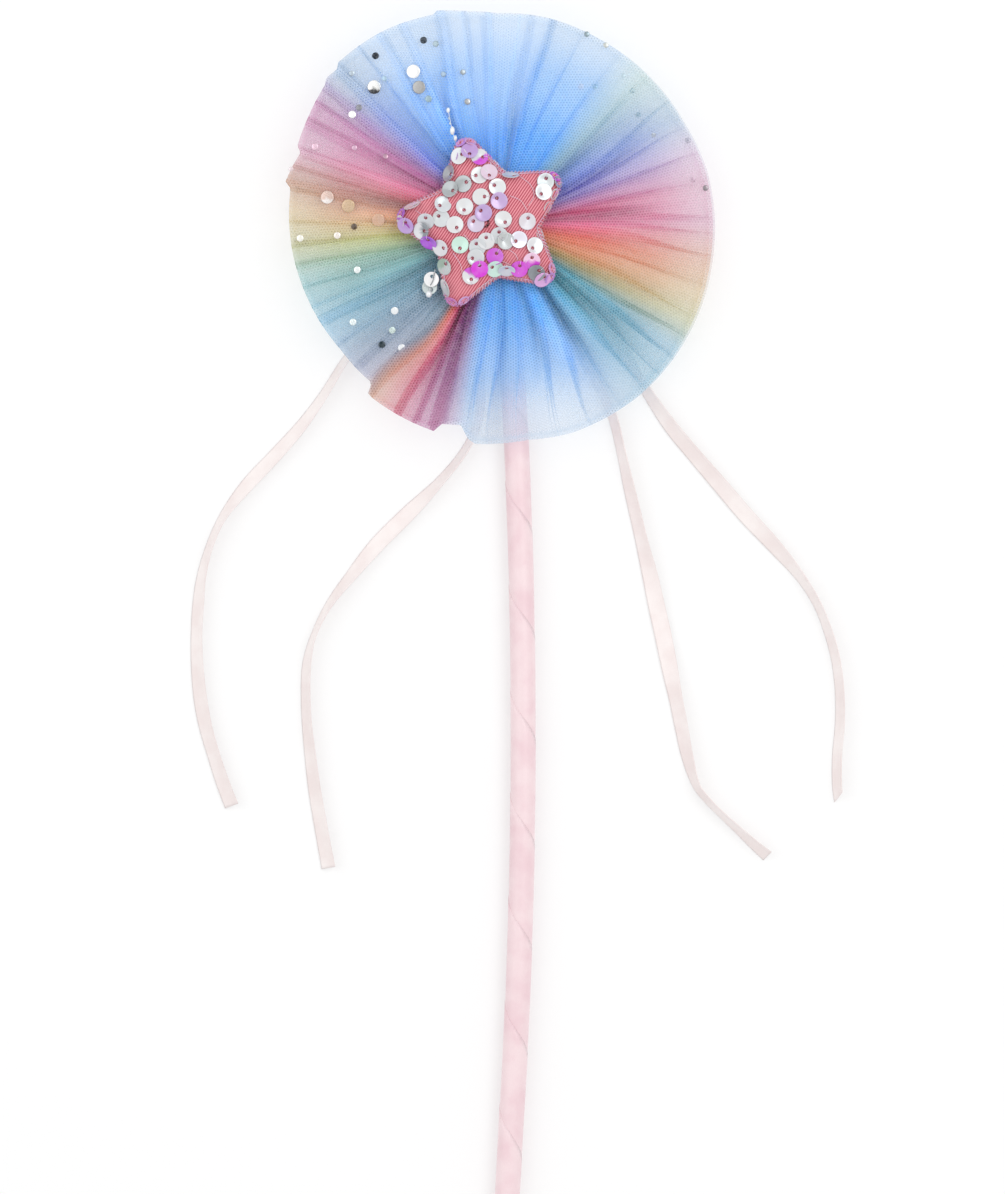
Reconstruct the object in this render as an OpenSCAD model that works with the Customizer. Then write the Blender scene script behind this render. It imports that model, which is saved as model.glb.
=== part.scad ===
// Fairy ribbon wand: a bowed, satin-wrapped dowel carrying a gathered tulle rosette,
// a padded sequined star and four narrow satin ribbons, lying on its back on a table.
// X is across the wand, +Y runs from the stick's end to the head, +Z out of the star.

/* [Stick] */
// Length of the bare dowel
dowel_len = 304.45; // [260:1:340]
// Diameter of the bare dowel
dowel_d = 6.35; // [5:0.05:9]
// Thickness of the satin ribbon wound round the dowel
wrap_t = 0.53; // [0.3:0.01:0.8]
// Radius of the stick's sideways bow
bow_r = 1815; // [1200:5:4000]
// Length of the straight stretch at the grip end
grip_len = 40; // [30:1:60]

/* [Rosette] */
// Outer radius of the tulle rosette
rosette_r = 62; // [50:0.5:75]
// Radius of the longest lobe of the glitter overlay
glitter_lobe_r = 65; // [60:0.5:66]
// Radius of the flat sewn hub
hub_r = 12; // [9:0.5:16]
// Radius of the hole that the glue plug fills
hub_hole_r = 5; // [3:0.5:7]
// Thickness of one layer where it is sewn at the hub
hub_layer_t = 1.1; // [0.8:0.1:1.6]
// Radius of the backing disc behind the rosette
backing_r = 21; // [19:0.5:26]
// Thickness of the backing disc
backing_t = 1.15; // [0.8:0.05:2]

/* [Star] */
// Distance from the star's centre to the end of a point
star_r = 25.3; // [20:0.1:30]
// Distance from the star's centre to a notch
star_notch_r = 16; // [12:0.5:18]
// Radius of the rounding on each point
star_tip_r = 3.7; // [1.5:0.1:4]
// Height of the padded star above its felt back
star_h = 7; // [4:0.5:10]
// Thickness of the star's twill cover
cover_t = 0.6; // [0.4:0.1:1]
// Thickness of the star's felt back
felt_t = 1; // [0.6:0.1:1.5]
// Diameter of a sequin
sequin_d = 5; // [4:0.5:6]

/* [Streamers] */
// Width of a ribbon
ribbon_w = 5; // [4:0.5:7]
// Thickness of a ribbon
ribbon_t = 0.26; // [0.2:0.02:0.5]

/* [Hidden] */
$fn = 64;

film = 0.02;                        // glue film between two round faces
dowel_r = dowel_d / 2;
wrap_in_r = dowel_r + film;
wrap_r = wrap_in_r + wrap_t;        // outside of the wrapped stick
axis_z = wrap_r;                    // the stick lies on the table
wand_len = 352;                     // rosette top to stick end
hub_y = wand_len / 2 - rosette_r;   // the rosette's centre
dowel_above_hub = 15;               // hidden top of the dowel above the rosette's centre

// The bow: an arc in the XY plane, then a straight grip along the arc's last tangent
apex_x = 7.3;                       // the arc's furthest reach towards +X
apex_y = -34;
arc_x = apex_x - bow_r;             // centre of the arc
dowel_top_y = hub_y + dowel_above_hub;
dowel_end_y = dowel_top_y - dowel_len;
arc_top_a = asin((dowel_top_y - apex_y) / bow_r);
arc_end_a = asin((dowel_end_y + grip_len - apex_y) / bow_r);
arc_end = [arc_x + bow_r * cos(arc_end_a), apex_y + bow_r * sin(arc_end_a)];
tuck_t = wrap_t + film;             // the ribbon folded over the dowel's end

// Heights in the head's stack, from the back
backing_z = 2 * wrap_r;
back_z = backing_z + backing_t;
middle_z = back_z + hub_layer_t;
front_z = middle_z + hub_layer_t;
glitter_z = front_z + hub_layer_t;
felt_z = glitter_z + hub_layer_t;
cover_z = felt_z + felt_t;
sequin_z = cover_z + star_h;
layer_gap = 0.1;                    // air between two layers outside the sewn hub
rim_drop = 2;                       // how far a layer's underside falls from hub to rim
rim_drop_step = 0.5;                // how much less each higher layer falls
fall_r = backing_r + 1;             // the layers begin to fall outside the backing disc
droop_to = [-15, 195];              // sector where the back layer's rim rests on the table

star_x = -3.8;                      // the star sits a little off the rosette's centre
star_turn = 104;                    // direction of the star's first point
sequin_t = 0.2;
sequin_step = 0.3;                  // sequins that overlap others lie one step higher
sequin_hole_r = 0.45;
sequin_hole_off = 1;                // the hole is off the sequin's centre
knot_r = 0.3;
confetti_t = 0.15;

// Sequins: x, y from the star's centre, layer 0 or 1, direction of the hole
WHITE = [
  [-7.5, 19.5, 0, 20], [-1.5, 19, 0, 0], [-1.5, 13.8, 0, 200], [1.5, 15, 1, 270],
  [3.5, 10.5, 0, 140], [7, 14, 1, 0], [-1, 7.5, 0, 0], [-6, 4.5, 0, 250],
  [-2.5, 0, 0, 140], [5.5, 1, 1, 300], [-12.5, 5.5, 1, 220], [-12.5, 1.5, 0, 140],
  [-8.5, -0.5, 1, 300], [-17, 0.5, 1, 100], [-2.5, -6.5, 0, 90], [0.5, -5, 1, 90],
  [4, -3.5, 0, 90], [-2.5, -10, 1, 180], [10, -5, 0, 200], [14.5, -6.5, 1, 220],
  [3.6, -13.5, 0, 140], [17, 9, 0, 220], [12, 0.5, 0, 70], [-10.5, 8.9, 0, 340]
];
LILAC = [
  [-4.5, 21.5, 1, 270], [4, 6.5, 1, 130], [-0.5, 3, 1, 140],
  [-22.5, -0.5, 0, 80], [19, 12.5, 1, 200], [-21, 5, 1, 300]
];
MAGENTA = [
  [-16.5, -6, 0, 90], [3, -9.5, 1, 90], [-1.5, -14, 0, 90], [-4.5, -16.5, 1, 270],
  [10.5, -13.5, 0, 80], [14, -11.8, 1, 60], [-7.2, -21, 1, 90]
];
SILVER = [
  [-10.5, 14, 0, 340], [-6.5, 11.5, 1, 20], [-13, -7, 1, 350], [-7, -6.5, 1, 260],
  [-11.5, -12.5, 0, 60], [-11, -19, 0, 90], [6.5, -5.5, 1, 150]
];

// Confetti: direction from the rosette's centre in degrees, and distance
CONFETTI_LARGE = [[119, 50], [133, 53], [171, 50], [178, 35]];
CONFETTI_SMALL = [
  [126, 60], [112, 57], [143, 53], [138, 61], [128, 53], [120, 42], [109, 46], [157, 57],
  [184, 47], [184, 57], [198, 43], [220, 39], [214, 51], [225, 43], [233, 45], [149, 38],
  [45, 55], [50, 56], [24, 60], [13, 58], [59, 47]
];

// Ribbon routes from the rosette's centre: x, y, height of the middle, roll in degrees
ANCHOR_LO = [-16, -6];
ROUTE_LO = [
  [-19, -9.5, 6.9, 3], [-22, -13, 6, 15], [-28, -20, 4.2, 35], [-35, -28, 2.9, 55],
  [-40.5, -34.5, 2.5, 64], [-45, -40, 2.5, 66], [-50.5, -49, 2.4, 60], [-57, -58, 2, 49],
  [-64.5, -66.5, 1.8, 39], [-72.5, -75, 1.8, 39], [-79.5, -84, 2.4, 62],
  [-83.5, -92.5, 2.5, 65], [-86, -101.5, 2.3, 58], [-87, -110, 2.1, 49],
  [-87.5, -119, 2, 49], [-87.3, -127.5, 2, 45], [-86.5, -136.5, 1.8, 39],
  [-85, -145, 1.8, 40], [-82.6, -153.5, 1.9, 42], [-79.8, -162, 1.8, 38], [-77.3, -168.5, 1.7, 36]
];
ANCHOR_LI = [-9.5, -14];
ROUTE_LI = [
  [-8.8, -18.5, 6.9, 3], [-8, -23, 6.2, 15], [-6.8, -32, 4.2, 35], [-5.5, -42, 2.9, 52],
  [-5, -51, 2.5, 62], [-6, -58, 2.5, 65], [-10.5, -66.5, 2.5, 65], [-18, -75.5, 2.3, 56],
  [-26.5, -84, 1.4, 27], [-35, -92.5, 1.4, 27], [-42.5, -101.5, 2.1, 50],
  [-49, -110, 2.5, 66], [-53.5, -119, 2.6, 72], [-55.5, -127.5, 2.4, 60],
  [-55.8, -136.5, 2.3, 58], [-55.4, -145, 2.3, 56], [-54.5, -153.5, 2.1, 50],
  [-53.4, -162.5, 2, 45], [-52, -171, 1.9, 42], [-50.4, -180, 1.8, 40], [-49.2, -186.5, 1.8, 38]
];
ANCHOR_RI = [12, -13.5];
ROUTE_RI = [
  [14, -17.5, 6.9, 3], [16, -21.5, 6.2, 15], [20.5, -30, 4.2, 35], [26, -40, 2.9, 52],
  [30.5, -48.5, 2.5, 61], [33.5, -56, 2.5, 61], [36, -66.5, 2.5, 61], [38, -75.5, 2.3, 53],
  [40, -84, 2.1, 49], [42, -92.5, 2, 45], [44.2, -101.5, 1.4, 27], [46, -110, 0.9, 15],
  [48, -119, 0.7, 10], [49.7, -127.5, 1.1, 20], [51.5, -136.5, 1.8, 39],
  [53.2, -145, 1.9, 42], [55, -154, 2.1, 50], [57.5, -162.3, 2.5, 66], [61, -167, 2.6, 69],
  [65.2, -171.2, 2.6, 69], [70, -175.6, 2.4, 64], [74.5, -179.8, 2.3, 57], [78.3, -183, 2.1, 50]
];
ANCHOR_RO = [17.5, -4.5];
ROUTE_RO = [
  [20.2, -8, 6.9, 3], [22.8, -11.8, 6.2, 15], [28, -20, 4.2, 35], [34, -31, 2.8, 50],
  [39.5, -41.5, 2.4, 56], [43.5, -48.5, 2.3, 55], [50, -58, 1.8, 39], [57, -66.5, 1.7, 36],
  [64.5, -75.2, 1.4, 27], [72, -84, 1.2, 23], [80, -92.6, 1.7, 35], [87.5, -101.5, 2.3, 58],
  [92.8, -110, 2.5, 65], [96.3, -119, 2.4, 63], [98.4, -127.5, 2.4, 62],
  [99.3, -136.5, 2.4, 62], [99.3, -145, 2.3, 60], [98.5, -154, 2.3, 60],
  [98.5, -162.5, 2.3, 60], [99.1, -167.2, 2.3, 60]
];
route_steps = 2;                    // rings along one span of a route
tab_z = 6.9;                        // underside of the sewn ends
tab_r = 2.5;
eye_r = 0.75;                       // hole round the stitch
stitch_r = 0.4;
stitch_head_r = 1.3;
stitch_head_t = 0.5;

// A stretch of the stick's axis: the bowed arc and the straight grip, drawn with a ring
module along_stick(top_a, r, hole_r, straight) {
  translate([arc_x, apex_y, axis_z])
    rotate([0, 0, arc_end_a])
      rotate_extrude(angle = top_a - arc_end_a, $fn = 256)
        translate([bow_r, 0])
          ring(r, hole_r);
  translate([arc_end[0], arc_end[1], axis_z])
    rotate([0, 0, arc_end_a])
      rotate([90, 0, 0])
        linear_extrude(straight)
          ring(r, hole_r);
}

module ring(r, hole_r) {
  difference() {
    circle(r);
    if (hole_r > 0) circle(hole_r);
  }
}

module dowel() {
  color("burlywood")
    along_stick(arc_top_a, dowel_r, 0, grip_len);
}

module stick_wrap() {
  color("mistyrose")
    along_stick(arc_top_a, wrap_r, wrap_in_r, grip_len);
}

module wrap_end_tuck() {
  color("mistyrose")
    translate([arc_end[0], arc_end[1], axis_z])
      rotate([0, 0, arc_end_a])
        rotate([90, 0, 0])
          translate([0, 0, grip_len])
            cylinder(r = wrap_r, h = tuck_t);
}

module backing_disc() {
  color("white")
    translate([0, hub_y, backing_z])
      cylinder(r = backing_r, h = backing_t);
}

// Two fillets of hot-melt glue between the stick and the backing disc
module stick_glue() {
  glue_w = 11;
  glue_l = 30;
  color("ivory")
    difference() {
      translate([1.8 - glue_w / 2, hub_y - glue_l / 2, axis_z + 0.6])
        cube([glue_w, glue_l, backing_z - axis_z - 0.6]);
      along_stick(arc_top_a + 1, wrap_r + film, 0, grip_len);
    }
}

module hub_glue() {
  color("ivory")
    translate([0, hub_y, back_z])
      cylinder(r = hub_hole_r - 1, h = felt_z - back_z);
}

// One gathered layer as a dished ring: level over the backing disc, then falling to the rim
module layer(z, outer_r, drop) {
  share = (outer_r - fall_r) / (rosette_r - fall_r);
  top_z = z + hub_layer_t - layer_gap;
  translate([0, hub_y, 0])
    rotate_extrude($fn = 128)
      polygon([
        [hub_hole_r, z], [fall_r, z], [outer_r, z - drop * share],
        [outer_r, top_z - (drop - rim_drop_step) * share], [fall_r, top_z],
        [hub_r, top_z], [hub_r, z + hub_layer_t], [hub_hole_r, z + hub_layer_t]
      ]);
}

// The back layer lies over the stick in a channel, and its rim hangs to the table
// everywhere but over the loose ribbons
module tulle_back_layer() {
  droop_r = 26;
  edge_r = rosette_r - 0.2;
  inside = 0.5;
  channel_w = 14;
  color("paleturquoise")
    difference() {
      union() {
        layer(back_z, rosette_r, rim_drop);
        translate([0, hub_y, 0])
          rotate([0, 0, droop_to[0]])
            rotate_extrude(angle = droop_to[1] - droop_to[0], $fn = 128)
              polygon([
                [droop_r, back_z + 0.1], [droop_r, back_z - 1],
                [edge_r - 4, 0], [edge_r, 0], [edge_r, back_z - rim_drop + inside]
              ]);
      }
      translate([apex_x - 4 - channel_w / 2, hub_y - rosette_r - 2, -1])
        cube([channel_w, rosette_r, backing_z + 1.1]);
    }
}

module tulle_middle_layer() {
  color("lightskyblue")
    layer(middle_z, rosette_r - 0.5, rim_drop - rim_drop_step);
}

module tulle_front_layer() {
  color("plum")
    layer(front_z, rosette_r - 1, rim_drop - 2 * rim_drop_step);
}

// The glitter overlay covers the left half, with its longest lobe at the upper left
function glitter_r(a) =
  a < 85 || a > 265 ? 27 : a < 110 ? rosette_r : a < 155 ? glitter_lobe_r : rosette_r - 1.5;

module glitter_tulle_layer() {
  color("thistle")
    translate([0, hub_y, glitter_z])
      difference() {
        union() {
          linear_extrude(hub_layer_t - layer_gap)
            polygon([for (a = [0:2.5:357.5]) glitter_r(a) * [cos(a), sin(a)]]);
          cylinder(r = hub_r, h = hub_layer_t);
        }
        translate([0, 0, -1])
          cylinder(r = hub_hole_r, h = hub_layer_t + 2);
      }
}

// The running stitch that gathers the layers round the hub's hole
module gathering_thread() {
  thread_r = 0.35;
  color("white")
    for (z = [middle_z, front_z, glitter_z])
      translate([0, hub_y, z])
        rotate_extrude()
          translate([hub_hole_r - thread_r, 0])
            circle(thread_r);
}

module confetti(spots, r) {
  for (s = spots) {
    z = (s[0] > 85 && s[0] < 265) ? felt_z - layer_gap : glitter_z - layer_gap;
    translate([s[1] * cos(s[0]), hub_y + s[1] * sin(s[0]), z])
      cylinder(r = r, h = confetti_t);
  }
}

module confetti_large() {
  color("gainsboro") confetti(CONFETTI_LARGE, 2);
}

module confetti_small() {
  color("whitesmoke") confetti(CONFETTI_SMALL, 1);
}

// A star with rounded points; grow moves its outline outwards
function star_points(grow) =
  let (
    notch = star_notch_r + grow,
    tip = star_tip_r + grow,
    d = star_r - star_tip_r,
    nx = notch * cos(36),
    ny = notch * sin(36),
    half = 90 - atan2(ny, d - nx) + asin(tip / norm([d - nx, ny]))
  )
  [for (i = [0:4], k = [0:9])
    let (a = star_turn + 72 * i)
    k == 9
      ? notch * [cos(a + 36), sin(a + 36)]
      : let (b = a - half + half * k / 4) d * [cos(a), sin(a)] + tip * [cos(b), sin(b)]
  ];

module star_slab(z, h, grow, hollow) {
  translate([star_x, hub_y, z])
    linear_extrude(h)
      difference() {
        polygon(star_points(grow));
        if (hollow > 0) polygon(star_points(grow - hollow));
      }
}

module star_back_felt() {
  color("pink") star_slab(felt_z, felt_t, -0.4, 0);
}

module star_pad() {
  color("white") star_slab(cover_z, star_h - cover_t - film, -cover_t - film, 0);
}

module star_cover() {
  color("palevioletred")
    union() {
      star_slab(cover_z, star_h - cover_t, 0, cover_t);
      star_slab(sequin_z - cover_t, cover_t, 0, 0);
    }
}

// Clear thread whipped along the cover's lower edge
module star_edge_thread() {
  color("lavender") star_slab(felt_z + 0.2, 1.2, 0.6, 0.58);
}

module sequins(list) {
  translate([star_x, hub_y, sequin_z])
    for (s = list)
      translate([s[0], s[1], sequin_step * s[2]])
        difference() {
          cylinder(d = sequin_d, h = sequin_t);
          translate([sequin_hole_off * cos(s[3]), sequin_hole_off * sin(s[3]), -1])
            cylinder(r = sequin_hole_r, h = 2, $fn = 24);
        }
}

module sequins_white() { color("white") sequins(WHITE); }
module sequins_lilac() { color("plum") sequins(LILAC); }
module sequins_magenta() { color("orchid") sequins(MAGENTA); }
module sequins_silver() { color("silver") sequins(SILVER); }

// One clear knot through each sequin's hole
module sequin_threads() {
  color("aliceblue")
    translate([star_x, hub_y, sequin_z])
      for (s = concat(WHITE, LILAC, MAGENTA, SILVER))
        translate([
          s[0] + sequin_hole_off * cos(s[3]), s[1] + sequin_hole_off * sin(s[3]),
          sequin_t * s[2]
        ])
          cylinder(r = knot_r, h = sequin_step - 0.02 + 0.12 * s[2], $fn = 24);
}

// A loose sequin with a bead at the lower left, and a short bead strand at the top point
module dangling_beads() {
  bead_r = 0.9;
  color("silver")
    translate([star_x, hub_y, felt_z]) {
      translate([-16.5, -16.5, 0]) cylinder(d = 4.4, h = sequin_t);
      translate([-16.8, -20.4, bead_r]) sphere(bead_r, $fn = 32);
      for (i = [0:2])
        translate([-11 + 0.6 * i, 28.6 - 1.9 * i, bead_r]) sphere(bead_r, $fn = 32);
    }
}

// Catmull-Rom through the route's rows at span i, part f
function span(p, i, f) =
  let (
    n = len(p) - 1,
    a = p[max(i - 1, 0)], b = p[i], c = p[min(i + 1, n)], d = p[min(i + 2, n)]
  )
  0.5 * ((2 * b) + (c - a) * f + (2 * a - 5 * b + 4 * c - d) * f * f
    + (3 * b - a - 3 * c + d) * f * f * f);

function smooth_route(p) = concat(
  [for (i = [0:len(p) - 2], s = [0:route_steps - 1]) span(p, i, s / route_steps)],
  [p[len(p) - 1]]
);

// The ribbon's flat eight-sided section, across and through
SECTION = [
  [0.5, 0.25], [0.3, 0.5], [-0.3, 0.5], [-0.5, 0.25],
  [-0.5, -0.25], [-0.3, -0.5], [0.3, -0.5], [0.5, -0.25]
];
SIDES = len(SECTION);

function ring_at(p, i) =
  let (
    ahead = p[min(i + 1, len(p) - 1)] - p[max(i - 1, 0)],
    run = [ahead[0], ahead[1], ahead[2]] / norm([ahead[0], ahead[1], ahead[2]]),
    level = [-run[1], run[0], 0] / norm([run[0], run[1]]),
    up = cross(run, level),
    roll = p[i][3],
    across = level * cos(roll) + up * sin(roll),
    through = cross(run, across)
  )
  [for (s = SECTION)
    [p[i][0], p[i][1] + hub_y, p[i][2]] + across * s[0] * ribbon_w + through * s[1] * ribbon_t
  ];

module ribbon(route) {
  p = smooth_route(route);
  n = len(p);
  polyhedron(
    points = [for (i = [0:n - 1]) each ring_at(p, i)],
    faces = concat(
      [[for (k = [0:SIDES - 1]) k]],
      [for (i = [0:n - 2], k = [0:SIDES - 1])
        let (j = (k + 1) % SIDES, a = i * SIDES, b = a + SIDES) each [[a + k, b + k, b + j], [a + k, b + j, a + j]]
      ],
      [[for (k = [SIDES - 1:-1:0]) (n - 1) * SIDES + k]]
    )
  );
}

// The flat sewn end: a rounded tab with the stitch's hole
module streamer(anchor, route) {
  away = [route[0][0] - anchor[0], route[0][1] - anchor[1]];
  ribbon(route);
  translate([anchor[0], anchor[1] + hub_y, tab_z])
    rotate([0, 0, atan2(away[1], away[0])])
      linear_extrude(ribbon_t)
        difference() {
          union() {
            circle(tab_r);
            translate([0, -tab_r]) square([norm(away) + 0.4, 2 * tab_r]);
          }
          circle(eye_r, $fn = 32);
        }
}

module streamer_left_outer() { color("linen") streamer(ANCHOR_LO, ROUTE_LO); }
module streamer_left_inner() { color("linen") streamer(ANCHOR_LI, ROUTE_LI); }
module streamer_right_inner() { color("linen") streamer(ANCHOR_RI, ROUTE_RI); }
module streamer_right_outer() { color("linen") streamer(ANCHOR_RO, ROUTE_RO); }

// One knotted stitch for each ribbon, hanging from the backing disc
module streamer_stitches() {
  head_z = tab_z - 0.35 - stitch_head_t;
  color("white")
    for (a = [ANCHOR_LO, ANCHOR_LI, ANCHOR_RI, ANCHOR_RO])
      translate([a[0], a[1] + hub_y, head_z])
        union() {
          cylinder(r = stitch_head_r, h = stitch_head_t);
          cylinder(r = stitch_r, h = backing_z - head_z);
        }
}

dowel();
stick_wrap();
wrap_end_tuck();
backing_disc();
stick_glue();
hub_glue();
tulle_back_layer();
tulle_middle_layer();
tulle_front_layer();
glitter_tulle_layer();
gathering_thread();
confetti_large();
confetti_small();
star_back_felt();
star_pad();
star_cover();
star_edge_thread();
sequins_white();
sequins_lilac();
sequins_magenta();
sequins_silver();
sequin_threads();
dangling_beads();
streamer_left_outer();
streamer_left_inner();
streamer_right_inner();
streamer_right_outer();
streamer_stitches();
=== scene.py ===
"""Looks of the fairy ribbon wand: gathered tulle, sequined star, wrapped stick and satin ribbons."""
import math
import random

import bpy
import numpy as np
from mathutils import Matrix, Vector
from mathutils.bvhtree import BVHTree


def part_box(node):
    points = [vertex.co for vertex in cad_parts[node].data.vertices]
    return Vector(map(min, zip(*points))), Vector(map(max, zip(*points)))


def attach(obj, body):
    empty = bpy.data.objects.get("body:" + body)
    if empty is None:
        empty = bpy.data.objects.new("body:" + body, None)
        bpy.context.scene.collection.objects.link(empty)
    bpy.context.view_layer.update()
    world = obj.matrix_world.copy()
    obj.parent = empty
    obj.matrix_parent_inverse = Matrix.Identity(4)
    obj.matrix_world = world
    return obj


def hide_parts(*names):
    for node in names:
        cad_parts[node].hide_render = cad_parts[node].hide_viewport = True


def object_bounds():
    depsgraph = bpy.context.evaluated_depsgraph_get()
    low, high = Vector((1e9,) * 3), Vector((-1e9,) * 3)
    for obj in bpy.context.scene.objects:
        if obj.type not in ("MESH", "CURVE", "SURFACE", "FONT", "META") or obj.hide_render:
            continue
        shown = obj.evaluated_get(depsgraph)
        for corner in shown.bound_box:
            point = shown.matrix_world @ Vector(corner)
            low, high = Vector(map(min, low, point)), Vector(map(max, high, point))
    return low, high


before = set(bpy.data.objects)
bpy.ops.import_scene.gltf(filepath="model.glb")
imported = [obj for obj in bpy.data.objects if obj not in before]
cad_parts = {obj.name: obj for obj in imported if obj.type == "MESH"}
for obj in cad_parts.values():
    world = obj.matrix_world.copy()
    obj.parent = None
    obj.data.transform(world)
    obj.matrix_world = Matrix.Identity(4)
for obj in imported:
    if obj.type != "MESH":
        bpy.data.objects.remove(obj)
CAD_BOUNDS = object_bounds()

# ---------------------------------------------------------------- places, in metres
MM = 0.001
WAND = "wand"
disc_low, disc_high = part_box("backing_disc")
HUB = Vector(((disc_low[0] + disc_high[0]) / 2, (disc_low[1] + disc_high[1]) / 2, 0))
TABLE_Z = CAD_BOUNDS[0][2]
STAR_OFF_X = -3.8
FELT_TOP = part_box("star_back_felt")[1][2] / MM
COVER_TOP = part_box("star_cover")[1][2] / MM

# The view: straight down, a long lens, portrait 1005 x 1194
VIEW_CENTRE = (0.0013, 0.0062)
VIEW_TALL = 0.347
CAMERA_HEIGHT = 2.5


def at_hub(x, y, z):
    """A point given in millimetres from the rosette's centre, with height above the table."""
    return Vector((HUB.x + x * MM, HUB.y + y * MM, TABLE_Z + z * MM))


def clock(c, r, z):
    """As at_hub, from a direction in degrees clockwise from +Y and a distance."""
    a = math.radians(c)
    return at_hub(r * math.sin(a), r * math.cos(a), z)


def mix(a, b, f):
    return a + (b - a) * f


def smooth(f):
    f = min(1.0, max(0.0, f))
    return f * f * (3 - 2 * f)


def linear(code):
    """A colour written as rrggbb, as linear values."""
    parts = [int(code[i:i + 2], 16) / 255 for i in (0, 2, 4)]
    return np.array([p / 12.92 if p <= 0.04045 else ((p + 0.055) / 1.055) ** 2.4 for p in parts])


# ---------------------------------------------------------------- camera, floor and light
def make_camera():
    data = bpy.data.cameras.new("camera")
    data.sensor_fit = "VERTICAL"
    data.sensor_height = 24
    data.lens = data.sensor_height * CAMERA_HEIGHT / VIEW_TALL
    data.clip_end = 20
    camera = bpy.data.objects.new("camera", data)
    camera.location = (VIEW_CENTRE[0], VIEW_CENTRE[1], CAMERA_HEIGHT)
    bpy.context.collection.objects.link(camera)
    bpy.context.scene.camera = camera


def area_light(name, place, target, size, power):
    data = bpy.data.lights.new(name, "AREA")
    data.shape = "DISK"
    data.size = size
    data.energy = power
    lamp = bpy.data.objects.new(name, data)
    lamp.location = place
    lamp.rotation_euler = (Vector(target) - Vector(place)).to_track_quat("-Z", "Y").to_euler()
    bpy.context.collection.objects.link(lamp)


def make_studio():
    scene = bpy.context.scene
    scene.view_settings.view_transform = "Standard"
    scene.cycles.transparent_max_bounces = 24
    world = bpy.data.worlds.new("studio")
    world.use_nodes = True
    world.node_tree.nodes["Background"].inputs["Color"].default_value = (1, 1, 1, 1)
    world.node_tree.nodes["Background"].inputs["Strength"].default_value = 0.85
    scene.world = world
    area_light("key", (0.7, 0.5, 1.3), (0, 0, 0), 0.9, 6)
    area_light("fill", (-0.9, 0.3, 1.1), (0, 0, 0), 1.2, 3)


def make_floor():
    size = 3.0
    mesh = bpy.data.meshes.new("floor")
    corners = [(-size, -size), (size, -size), (size, size), (-size, size)]
    mesh.from_pydata([(x, y, TABLE_Z - 0.0001) for x, y in corners], [], [(0, 1, 2, 3)])
    floor = bpy.data.objects.new("floor", mesh)
    bpy.context.collection.objects.link(floor)
    mat = bpy.data.materials.new("floor")
    mat.use_nodes = True
    shader = mat.node_tree.nodes["Principled BSDF"]
    shader.inputs["Base Color"].default_value = (0.55, 0.55, 0.55, 1)
    shader.inputs["Roughness"].default_value = 0.9
    shader.inputs["Emission Color"].default_value = (1, 1, 1, 1)
    shader.inputs["Emission Strength"].default_value = 0.385
    mesh.materials.append(mat)


# ---------------------------------------------------------------- materials
class Nodes:
    """Short calls that add and join shader nodes."""

    def __init__(self, name):
        self.material = bpy.data.materials.new(name)
        self.material.use_nodes = True
        self.tree = self.material.node_tree
        self.shader = self.tree.nodes["Principled BSDF"]
        self.output = self.tree.nodes["Material Output"]

    def put(self, socket, value):
        if isinstance(value, bpy.types.NodeSocket):
            self.tree.links.new(value, socket)
        elif isinstance(value, (tuple, list, np.ndarray)) and socket.type == "RGBA":
            socket.default_value = (*value[:3], 1)
        else:
            socket.default_value = value

    def add(self, kind, **values):
        node = self.tree.nodes.new(kind)
        for key, value in values.items():
            setattr(node, key, value)
        return node

    def math(self, operation, a, b=0.0, c=0.0):
        node = self.add("ShaderNodeMath", operation=operation)
        for socket, value in zip(node.inputs, (a, b, c)):
            self.put(socket, value)
        return node.outputs[0]

    def dot(self, vector, direction):
        node = self.add("ShaderNodeVectorMath", operation="DOT_PRODUCT")
        self.put(node.inputs[0], vector)
        node.inputs[1].default_value = direction
        return node.outputs["Value"]

    def range(self, value, low, high, to_low=0.0, to_high=1.0):
        node = self.add("ShaderNodeMapRange", interpolation_type="SMOOTHSTEP")
        for key, v in zip(("Value", "From Min", "From Max", "To Min", "To Max"),
                          (value, low, high, to_low, to_high)):
            self.put(node.inputs[key], v)
        return node.outputs["Result"]

    def blend(self, factor, a, b, mode="MIX"):
        node = self.add("ShaderNodeMix", data_type="RGBA", blend_type=mode)
        self.put(node.inputs[0], factor)
        self.put(node.inputs[6], a)
        self.put(node.inputs[7], b)
        return node.outputs[2]

    def noise(self, vector, scale, detail=2.0, roughness=0.5):
        node = self.add("ShaderNodeTexNoise")
        self.put(node.inputs["Vector"], vector)
        node.inputs["Scale"].default_value = scale
        node.inputs["Detail"].default_value = detail
        node.inputs["Roughness"].default_value = roughness
        return node.outputs["Fac"]

    def place(self):
        return self.add("ShaderNodeTexCoord").outputs["Object"]

    def uv(self, name):
        return self.add("ShaderNodeUVMap", uv_map=name).outputs["UV"]

    def attribute(self, name):
        node = self.add("ShaderNodeAttribute", attribute_name=name)
        return node.outputs["Color"], node.outputs["Alpha"]

    def bump(self, height, strength, distance):
        node = self.add("ShaderNodeBump")
        node.inputs["Strength"].default_value = strength
        node.inputs["Distance"].default_value = distance
        self.put(node.inputs["Height"], height)
        self.put(self.shader.inputs["Normal"], node.outputs["Normal"])
        return node.outputs["Normal"]

    def finish(self, colour=None, **sockets):
        if colour is not None:
            self.put(self.shader.inputs["Base Color"], colour)
        for key, value in sockets.items():
            self.put(self.shader.inputs[key.replace("_", " ")], value)
        return self.material


NET_CELL = 0.86  # millimetres between the holes of the net


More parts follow.
